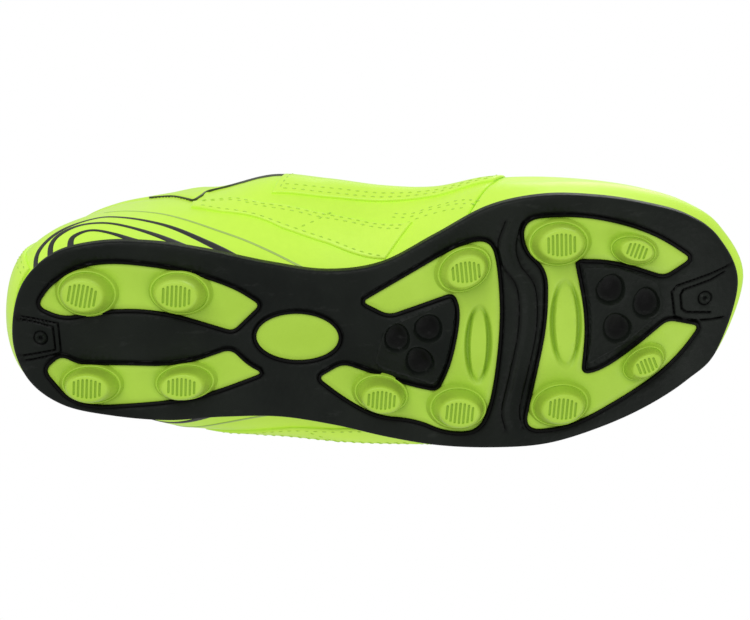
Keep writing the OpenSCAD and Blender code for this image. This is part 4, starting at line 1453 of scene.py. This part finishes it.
def build_bands(word):
    """The printed bands, the grey line and a dark strip painted as shadow along the collar's seam on
    one side.
    """
    side = SIDES[word]
    for k, line in enumerate(STRIPES):
        band(f"printed_band{k}_{word}", side, line, [1.2, 0.95, 0.6, 0.55, 0.7, 1.1, 1.6], 0.14,
             PRINT_BLACK, smooth=BAND_ROUNDS, slot="black_tpu")
    band("welt_line_" + word, side, GREY_LINE, [0.2, 0.32, 0.36, 0.4, 0.45], 0.16, PRINT_GREY,
         slot="neon_synthetic")
    # a dark raised strip along the collar's seam, painted as its shadow
    seam = COLLAR_SEAM[3:]
    band("collar_seam_shadow_" + word, side, seam, [0.12, 0.2, 0.32, 0.3, 0.22, 0.2, 0.12], 0.8, SEAM_SHADOW,
         n=120, slot="neon_synthetic")


STITCH_SHARE = 0.68     # the part of the pitch that a stitch covers


def stitch_meshes(side, line, depth, pitch):
    """Points and faces of the stitches of one seam, laid on a line of (t, h) places."""
    dense = on_surface(line, 300)
    p = face(dense[:, 0], side, dense[:, 1])
    run = np.concatenate([[0], np.cumsum(np.linalg.norm(np.diff(p, axis=0), axis=1))])
    count = max(int(run[-1] / pitch), 1)
    rings = 5
    sides = 6
    local = np.linspace(-0.5, 0.5, rings) * pitch * STITCH_SHARE
    at = ((np.arange(count) + 0.5) * run[-1] / count)[:, None] + local
    t = np.interp(at, run, dense[:, 0])
    h = np.interp(at, run, dense[:, 1])
    sink = np.array([0.24, 0.12, 0.05, 0.12, 0.24])
    radius = np.array([0.12, 0.24, 0.28, 0.24, 0.12])
    centre = under(t, side, h, depth + np.broadcast_to(sink, t.shape))
    n = normal(t, side, h)
    d = unit(np.gradient(centre, axis=1))
    b = np.cross(n, d)
    a = np.linspace(0, 2 * np.pi, sides, endpoint=False)
    points = (centre[:, :, None] + n[:, :, None] * (radius[:, None] * np.cos(a))[None, :, :, None] * 0.8
              + b[:, :, None] * (radius[:, None] * np.sin(a))[None, :, :, None])
    faces = []
    for k in range(count):
        start = k * rings * sides
        faces += [tuple(start + i for i in f) for f in grid_faces(rings, sides, closed=True)]
        faces.append(tuple(start + j for j in range(sides)))
        faces.append(tuple(start + (rings - 1) * sides + j for j in range(sides - 1, -1, -1)))
    return points.reshape(-1, 3), faces


def stitching(name, rows):
    """All the stitches of several seams as one piece. Rows are (side, line, depth, pitch)."""
    points = []
    faces = []
    start = 0
    for side, line, depth, pitch in rows:
        p, f = stitch_meshes(side, line, depth, pitch)
        points.append(p)
        faces += [tuple(start + i for i in face_) for face_ in f]
        start += len(p)
    obj = new_object(name, np.concatenate(points), faces, THREAD, slot="neon_synthetic")
    return outward_faces(obj)


def grid_line(t_from, t_to, h_from, h_to, n=8):
    """A line of (t, h) places straight across the quarters' grid."""
    f = np.linspace(0, 1, n)
    h = mix(h_from, h_to, f)
    return np.column_stack([quarter_place(mix(t_from, t_to, f), h)[0], h])


def build_stitching(word):
    side = SIDES[word]
    on_stay = -0.98
    on_skin = -0.04
    stay_low = 5 / REAR_ROWS
    rows = [
        (side, grid_line(6.62, 10.85, stay_low + 0.03, stay_low + 0.03), on_stay, 3.0),
        (side, grid_line(6.62, 10.85, stay_low + 0.068, stay_low + 0.068), on_stay, 3.0),
        (side, grid_line(6.75, 10.85, 0.955, 0.955), on_stay, 2.6),
        (side, grid_line(6.60, 6.70, stay_low + 0.03, 0.955), on_stay, 2.8),
        (side, grid_line(10.84, 10.84, stay_low + 0.03, 0.955), on_stay, 2.8),
        (side, [(4.75, 0.49), (5.3, 0.435), (5.85, 0.33), (6.65, 0.297), (7.5, 0.265), (8.45, 0.19)],
         -0.98, 3.0),
        (side, [(4.75, 0.475), (5.3, 0.415), (5.85, 0.312), (6.65, 0.278), (7.5, 0.246), (8.4, 0.172)],
         -0.98, 3.0),
        (side, [(4.75, 0.42), (5.15, 0.34), (5.7, 0.265), (6.2, 0.21), (7.0, 0.158), (7.55, 0.1),
                (8.05, 0.04)], -0.98, 3.0),
        (side, [(6.5, 0.20), (6.8, 0.25), (7.1, 0.31)], -0.98, 3.0),
        (side, [(7.85, 0.11), (8.3, 0.19), (8.75, 0.22), (9.2, 0.2), (9.6, 0.13)], on_skin, 3.0),
        (side, [(8.15, 0.285), (8.55, 0.25), (8.9, 0.265), (9.35, 0.23), (9.8, 0.11)], on_skin, 3.0),
        (side, [(8.2, 0.31), (8.6, 0.275), (8.95, 0.29), (9.45, 0.25), (9.9, 0.12)], on_skin, 3.0),
        (side, [(3.8, 0.90), (4.3, 0.74), (4.62, 0.60)], -0.6, 3.0),
        (side, [(4.95, 0.745), (5.3, 0.745), (5.7, 0.72), (6.3, 0.70)], -0.6, 3.0),
        (side, grid_line(1.7, 6.4, 0.93, 0.93, 12), -0.35, 3.0),
    ]
    stitching("stitching_" + word, rows)


def build_heel_stitching():
    edge = columns(3)
    rows = []
    for sign in (-1, 1):
        for back in (0.1, 0.24):
            line = grid_line(sign * (edge - back), sign * (edge - back), 0.11, 0.8)
            rows.append((MEDIAL, line, -0.98, 3.0))
    rows.append((MEDIAL, grid_line(-edge + 0.15, edge - 0.15, 0.808, 0.808, 10), -0.98, 3.0))
    tab = columns(1)
    rows.append((MEDIAL, grid_line(-tab + 0.12, tab - 0.12, 0.82, 0.82, 4), -1.9, 2.6))
    for sign in (-1, 1):
        line = grid_line(sign * (tab - 0.12), sign * (tab - 0.12), 0.82, 0.97)
        rows.append((MEDIAL, line, -1.9, 2.6))
    stitching("stitching_heel", rows)


# ---------------------------------------------------------------- footbed
def footbed(name, inset, lower, upper, cup, material, **options):
    f = edge_steps(40, 76, 1.2)[None, :]
    t = np.linspace(0.02, LAST - 0.02, 150)
    inner = inset_edge(t, MEDIAL, inset)[:, None]
    outer = inset_edge(t, LATERAL, inset)[:, None]
    flat = mix(inner, outer, f[..., None])
    rim = np.minimum(np.linalg.norm(flat - inner, axis=2), np.linalg.norm(flat - outer, axis=2))
    base = underside(flat[..., 0])
    high = base + upper + cup * (1 - ramp(rim, 0, 12)) - 0.8 * (1 - round_off(rim, 1.2))
    top = np.dstack([flat, high])
    low = np.dstack([flat, base + lower])
    return shell(name, top, low, material, **options)


def build_footbed():
    foot = UPPER_INSET + LINING_DEPTH + LINING
    liner = footbed("sockliner_pad", foot + 1.0, PLATE + BOARD, PLATE + BOARD + SOCKLINER, 1.6, SOCK,
                    slot="sockliner_textile")
    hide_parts("sockliner")
    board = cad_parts["insole_board"]
    board.data.materials.clear()
    board.data.materials.append(FIBRE)


# ---------------------------------------------------------------- tongue
TONGUE_LINE = np.array([[45, -4.8, 54], [38, -5, 56.8], [30, -5, 60], [15, -4, 66.6], [-2, -3, 73],
                        [-22, -2, 79.8], [-36, -1.6, 86.6], [-46, -1.4, 94]], float)
TONGUE_WIDTH = np.array([0.42, 0.5, 0.6, 0.74, 0.86, 0.96, 1, 0.86])
TONGUE_HALF = 26
TONGUE_DROOP = 26


def spline(table, s):
    table = np.asarray(table, float)
    if table.ndim == 1:
        return spline(table[:, None], s)[..., 0]
    ends = np.vstack([2 * table[0] - table[1], table, 2 * table[-1] - table[-2]])
    k = np.clip(np.floor(s).astype(int), 0, len(table) - 2)
    f = (s - k)[..., None]
    return catmull(ends[k], ends[k + 1], ends[k + 2], ends[k + 3], f)


def tongue_place(u, v):
    """Line position for a place of the tongue: its free end is rounded."""
    return u * (7 - 0.55 * np.abs(v)**3.5)


def tongue_point(s, v, depth):
    p = spline(TONGUE_LINE, s)
    ahead = spline(TONGUE_LINE, np.minimum(s + 0.5, 7)) - spline(TONGUE_LINE, np.maximum(s - 0.5, 0))
    w = spline(TONGUE_WIDTH, s)
    lift = unit(np.cross([0, 1, 0], ahead))
    y = v * w * TONGUE_HALF * (1 - 0.14 * v * v * w)
    drop = TONGUE_DROOP * v * v * w * w
    side = np.zeros(p.shape)
    side[..., 1] = 2 * v * w * TONGUE_DROOP / TONGUE_HALF
    n = unit(lift + side)
    shift = np.zeros(p.shape)
    shift[..., 1] = y
    return p + shift - lift * drop[..., None] - n * np.asarray(depth)[..., None]


def tongue_edge(u, v):
    """Distance in millimetres from the tongue's free edges."""
    width = spline(TONGUE_WIDTH, tongue_place(u, v)) * TONGUE_HALF * 1.35
    return np.minimum((1 - np.abs(v)) * width, (1 - u) * 130)


def tongue_top(u, v):
    d = tongue_edge(u, v)
    channel = bump(d, 5.2, 1.6)
    return 1.5 * (1 - round_off(d, 4.5)) + 0.55 * channel - 0.3 * ramp(d, 6, 12)


def tongue_low(u, v):
    return 4.2 - 1.3 * (1 - round_off(tongue_edge(u, v), 4.5))


def build_tongue():
    u, v = np.meshgrid(np.linspace(0, 1, 90), np.sin(np.linspace(-1, 1, 61) * np.pi / 2),
                       indexing="ij")
    s = tongue_place(u, v)
    top = tongue_top(u, v)
    low = tongue_low(u, v)
    skin = shell("tongue_skin", tongue_point(s, v, top), tongue_point(s, v, top + 1.1), TONGUE_SKIN,
                 body="tongue", slot="tongue_synthetic")
    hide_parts("tongue_face")
    pad = shell("tongue_padding", tongue_point(s, v, top + 1.15),
                tongue_point(s, v, np.maximum(low, top + 1.3)),
                FOAM, body="tongue", slot="white_foam")
    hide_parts("tongue_foam")
    base = np.maximum(low, top + 1.3)
    lining = shell("tongue_inner", tongue_point(s, v, base + 0.05), tongue_point(s, v, base + 0.8),
                   MESH_LINING, body="tongue", slot="lining_textile")
    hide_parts("tongue_lining")
    one = np.ones(70)
    run = np.linspace(0.02, 1, 70)
    end = np.linspace(-1, 1, 60)[1:-1]
    bu = np.concatenate([run, np.ones(len(end)), run[::-1]])
    bv = np.concatenate([-one, end, one])
    bs = tongue_place(bu, bv)
    middle = np.full(len(bs), 2.75)
    path = tongue_point(bs, bv, middle)
    away = unit(tongue_point(bs, bv, middle - 1) - path)
    tube("tongue_binding", path, away, (1.35, 1.25), LACE, sides=12, body="tongue",
         slot="tongue_synthetic")
    tongue_stitches()


def tongue_stitches():
    """A row of stitches in the tongue's sewn channel."""
    points = []
    faces = []
    for sign in (-1, 1):
        u = np.linspace(0.12, 0.94, 46)
        for k in u:
            width = float(spline(TONGUE_WIDTH, np.array(k * 6.9))) * TONGUE_HALF * 1.35
            v = sign * (1 - 5.2 / width)
            uu = k + np.linspace(-0.5, 0.5, 5) * 0.0125
            vv = np.full(5, v)
            centre = tongue_point(tongue_place(uu, vv), vv,
                                  tongue_top(uu, vv) + np.array([0.2, -0.05, -0.15, -0.05, 0.2]))
            d = unit(np.gradient(centre, axis=0))
            a = unit(np.cross(d, [0, 0, 1]))
            b = np.cross(d, a)
            angle = np.linspace(0, 2 * np.pi, 6, endpoint=False)
            r = np.array([0.12, 0.26, 0.3, 0.26, 0.12])
            ring = (centre[:, None] + a[:, None] * (r[:, None] * np.cos(angle))[..., None]
                    + b[:, None] * (r[:, None] * np.sin(angle))[..., None])
            start = len(points)
            points += ring.reshape(-1, 3).tolist()
            faces += [tuple(start + i for i in f) for f in grid_faces(5, 6, closed=True)]
            faces += [tuple(range(start, start + 6)), tuple(range(start + 29, start + 23, -1))]
    obj = new_object("stitching_tongue", points, faces, THREAD, body="tongue",
                     slot="tongue_synthetic")
    outward_faces(obj)


# ---------------------------------------------------------------- lace
LACE_HALF_WIDTH = 1.75
LACE_HALF_HEIGHT = 0.8
LACE_OVER = -0.92 - LACE_HALF_HEIGHT - 0.12
LACE_BELOW = LINING_DEPTH + LINING + LACE_HALF_HEIGHT + 0.2
LACE_CROSS = 1.1


def throat_edge(k, side, depth):
    t, _ = eyelet_place(k, side)
    return under(t, side, 1.0, depth)


def eyelet_point(k, side, depth):
    t, h = eyelet_place(k, side)
    return under(t, side, h, depth)


def lace_route(first, hump):
    """One lace end: down its first hole, up through the others in turn and down the last one."""
    route = []
    for k in range(EYELETS):
        side = first if k % 2 == 0 else -first
        top = k == EYELETS - 1
        before = LACE_BELOW if k == 1 else LACE_OVER
        after = LACE_OVER if top else LACE_BELOW
        enter = LACE_OVER if top or k == 0 else LACE_BELOW
        leave = LACE_BELOW if top or k == 0 else LACE_OVER
        if k == 0:
            route.append(throat_edge(0, side, LACE_OVER))
        else:
            a = throat_edge(k - 1, -side, before)
            b = throat_edge(k, side, after)
            route += [a, mix(a, b, 0.5) + np.array([0, 0, hump * LACE_CROSS]), b]
        route += [eyelet_point(k, side, enter), eyelet_point(k, side, leave)]
        if top:
            t, _ = eyelet_place(k, side)
            route.append(under(t, side, 0.66, LACE_BELOW))
    return route


def rounded_path(points, cut):
    """The path again with each corner eased from cut away on each side."""
    p = [np.asarray(q, float) for q in points]
    out = [p[0]]
    for a, b, c in zip(p, p[1:], p[2:]):
        out += eased_corner(a, b, c, cut, steps=7)
    out.append(p[-1])
    out = np.array(out)
    gap = np.linalg.norm(np.diff(out, axis=0), axis=1)
    return out[np.concatenate([[True], gap > 1e-3])]


def resampled(path, step):
    run = np.concatenate([[0], np.cumsum(np.linalg.norm(np.diff(path, axis=0), axis=1))])
    at = np.linspace(0, run[-1], int(run[-1] / step))
    return np.stack([np.interp(at, run, path[:, k]) for k in range(3)], 1)


def build_lace():
    """The laced run. Its two ends lie inside, against the lining."""
    route = lace_route(MEDIAL, 1)[::-1] + lace_route(LATERAL, -1)
    path = resampled(rounded_path(route, 3.4), 0.8)
    across = np.tile([1.0, 0, 0], (len(path), 1))
    lace = tube("lace_run", path, across, (LACE_HALF_WIDTH, LACE_HALF_HEIGHT), LACE, sides=16,
                slot="lace_textile")
    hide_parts("lace")


def build_upper():
    """Everything above the sole."""
    build_forefoot()
    for word in SIDES:
        build_quarter(word)
        build_bands(word)
        build_stitching(word)
    build_heel()
    build_collar_roll()
    build_heel_stitching()
    build_footbed()
    build_tongue()
    build_lace()


build_upper()


# ---------------------------------------------------------------- stage, light and camera
def material_stage():
    """Plain pale floor, seen from above only, so that the camera below it sees the sole."""
    n = Nodes("stage_floor")
    n.set(Roughness=0.9)
    n.join(n.blend(n.map(n.noise(3, 2), 0.3, 0.7, 0, 1), (0.9, 0.9, 0.9, 1), (0.94, 0.94, 0.94, 1)),
           n.shader.inputs["Base Color"])
    clear = n.add("ShaderNodeBsdfTransparent")
    swap = n.add("ShaderNodeMixShader")
    n.join(n.add("ShaderNodeNewGeometry").outputs["Backfacing"], swap.inputs[0])
    n.join(n.shader.outputs[0], swap.inputs[1])
    n.join(clear.outputs[0], swap.inputs[2])
    n.join(swap.outputs[0], n.tree.nodes["Material Output"].inputs["Surface"])
    return n.material


FLOOR_HALF = 12         # in metres, so that no edge of the floor is seen


def build_stage():
    """The floor, which the camera below it can look through."""
    half = FLOOR_HALF
    mesh = bpy.data.meshes.new("floor")
    mesh.from_pydata([(-half, -half, 0), (half, -half, 0), (half, half, 0), (-half, half, 0)], [],
                     [(0, 1, 2, 3)])
    floor = bpy.data.objects.new("floor", mesh)
    bpy.context.scene.collection.objects.link(floor)
    mesh.materials.append(material_stage())
    floor.visible_shadow = False
    floor.visible_diffuse = False
    floor.visible_glossy = False


def area_light(name, place, target, size, power):
    data = bpy.data.lights.new(name, "AREA")
    data.shape = "RECTANGLE"
    data.size = size[0]
    data.size_y = size[1]
    data.energy = power
    lamp = bpy.data.objects.new(name, data)
    bpy.context.scene.collection.objects.link(lamp)
    lamp.location = place
    lamp.rotation_euler = (Vector(target) - Vector(place)).to_track_quat("-Z", "Y").to_euler()
    lamp.visible_camera = False


WORLD_LIGHT = 0.62     # how bright the studio is for the object; the camera sees it white


def build_lights():
    world = bpy.data.worlds.new("studio")
    world.use_nodes = True
    tree = world.node_tree
    backdrop = tree.nodes["Background"]
    backdrop.inputs["Color"].default_value = (1, 1, 1, 1)
    seen = tree.nodes.new("ShaderNodeLightPath").outputs["Is Camera Ray"]
    strength = tree.nodes.new("ShaderNodeMapRange")
    strength.inputs["To Min"].default_value = WORLD_LIGHT
    strength.inputs["To Max"].default_value = 1.0
    tree.links.new(seen, strength.inputs["Value"])
    tree.links.new(strength.outputs["Result"], backdrop.inputs["Strength"])
    bpy.context.scene.world = world
    area_light("key_below", (-0.25, -0.75, -0.75), (0, 0, 0), (0.7, 0.7), 4.6)
    area_light("strip_below", (0.5, 0.5, -0.7), (0, 0, 0), (0.9, 0.25), 1.5)
    area_light("key_above", (0.4, -0.6, 0.8), (0, 0, 0.03), (0.6, 0.6), 3)


def build_camera():
    """The main view: from below, turned a little towards the medial side."""
    tilt = math.radians(15)
    roll = math.radians(2.4)
    target = Vector((-0.0005, -0.0055, 0.015))
    back = Vector((0, -math.sin(tilt), -math.cos(tilt)))
    up = Vector((0, -math.cos(tilt), math.sin(tilt)))
    right = Vector((1, 0, 0))
    turned_right = right * math.cos(roll) - up * math.sin(roll)
    turned_up = up * math.cos(roll) + right * math.sin(roll)
    data = bpy.data.cameras.new("camera")
    data.lens = 85
    data.sensor_width = 36
    camera = bpy.data.objects.new("camera", data)
    bpy.context.scene.collection.objects.link(camera)
    matrix = Matrix((turned_right, turned_up, back)).transposed().to_4x4()
    matrix.translation = target + back * 0.590
    camera.matrix_world = matrix
    bpy.context.scene.camera = camera
    bpy.context.scene.view_settings.view_transform = "Standard"


build_stage()
build_lights()
build_camera()
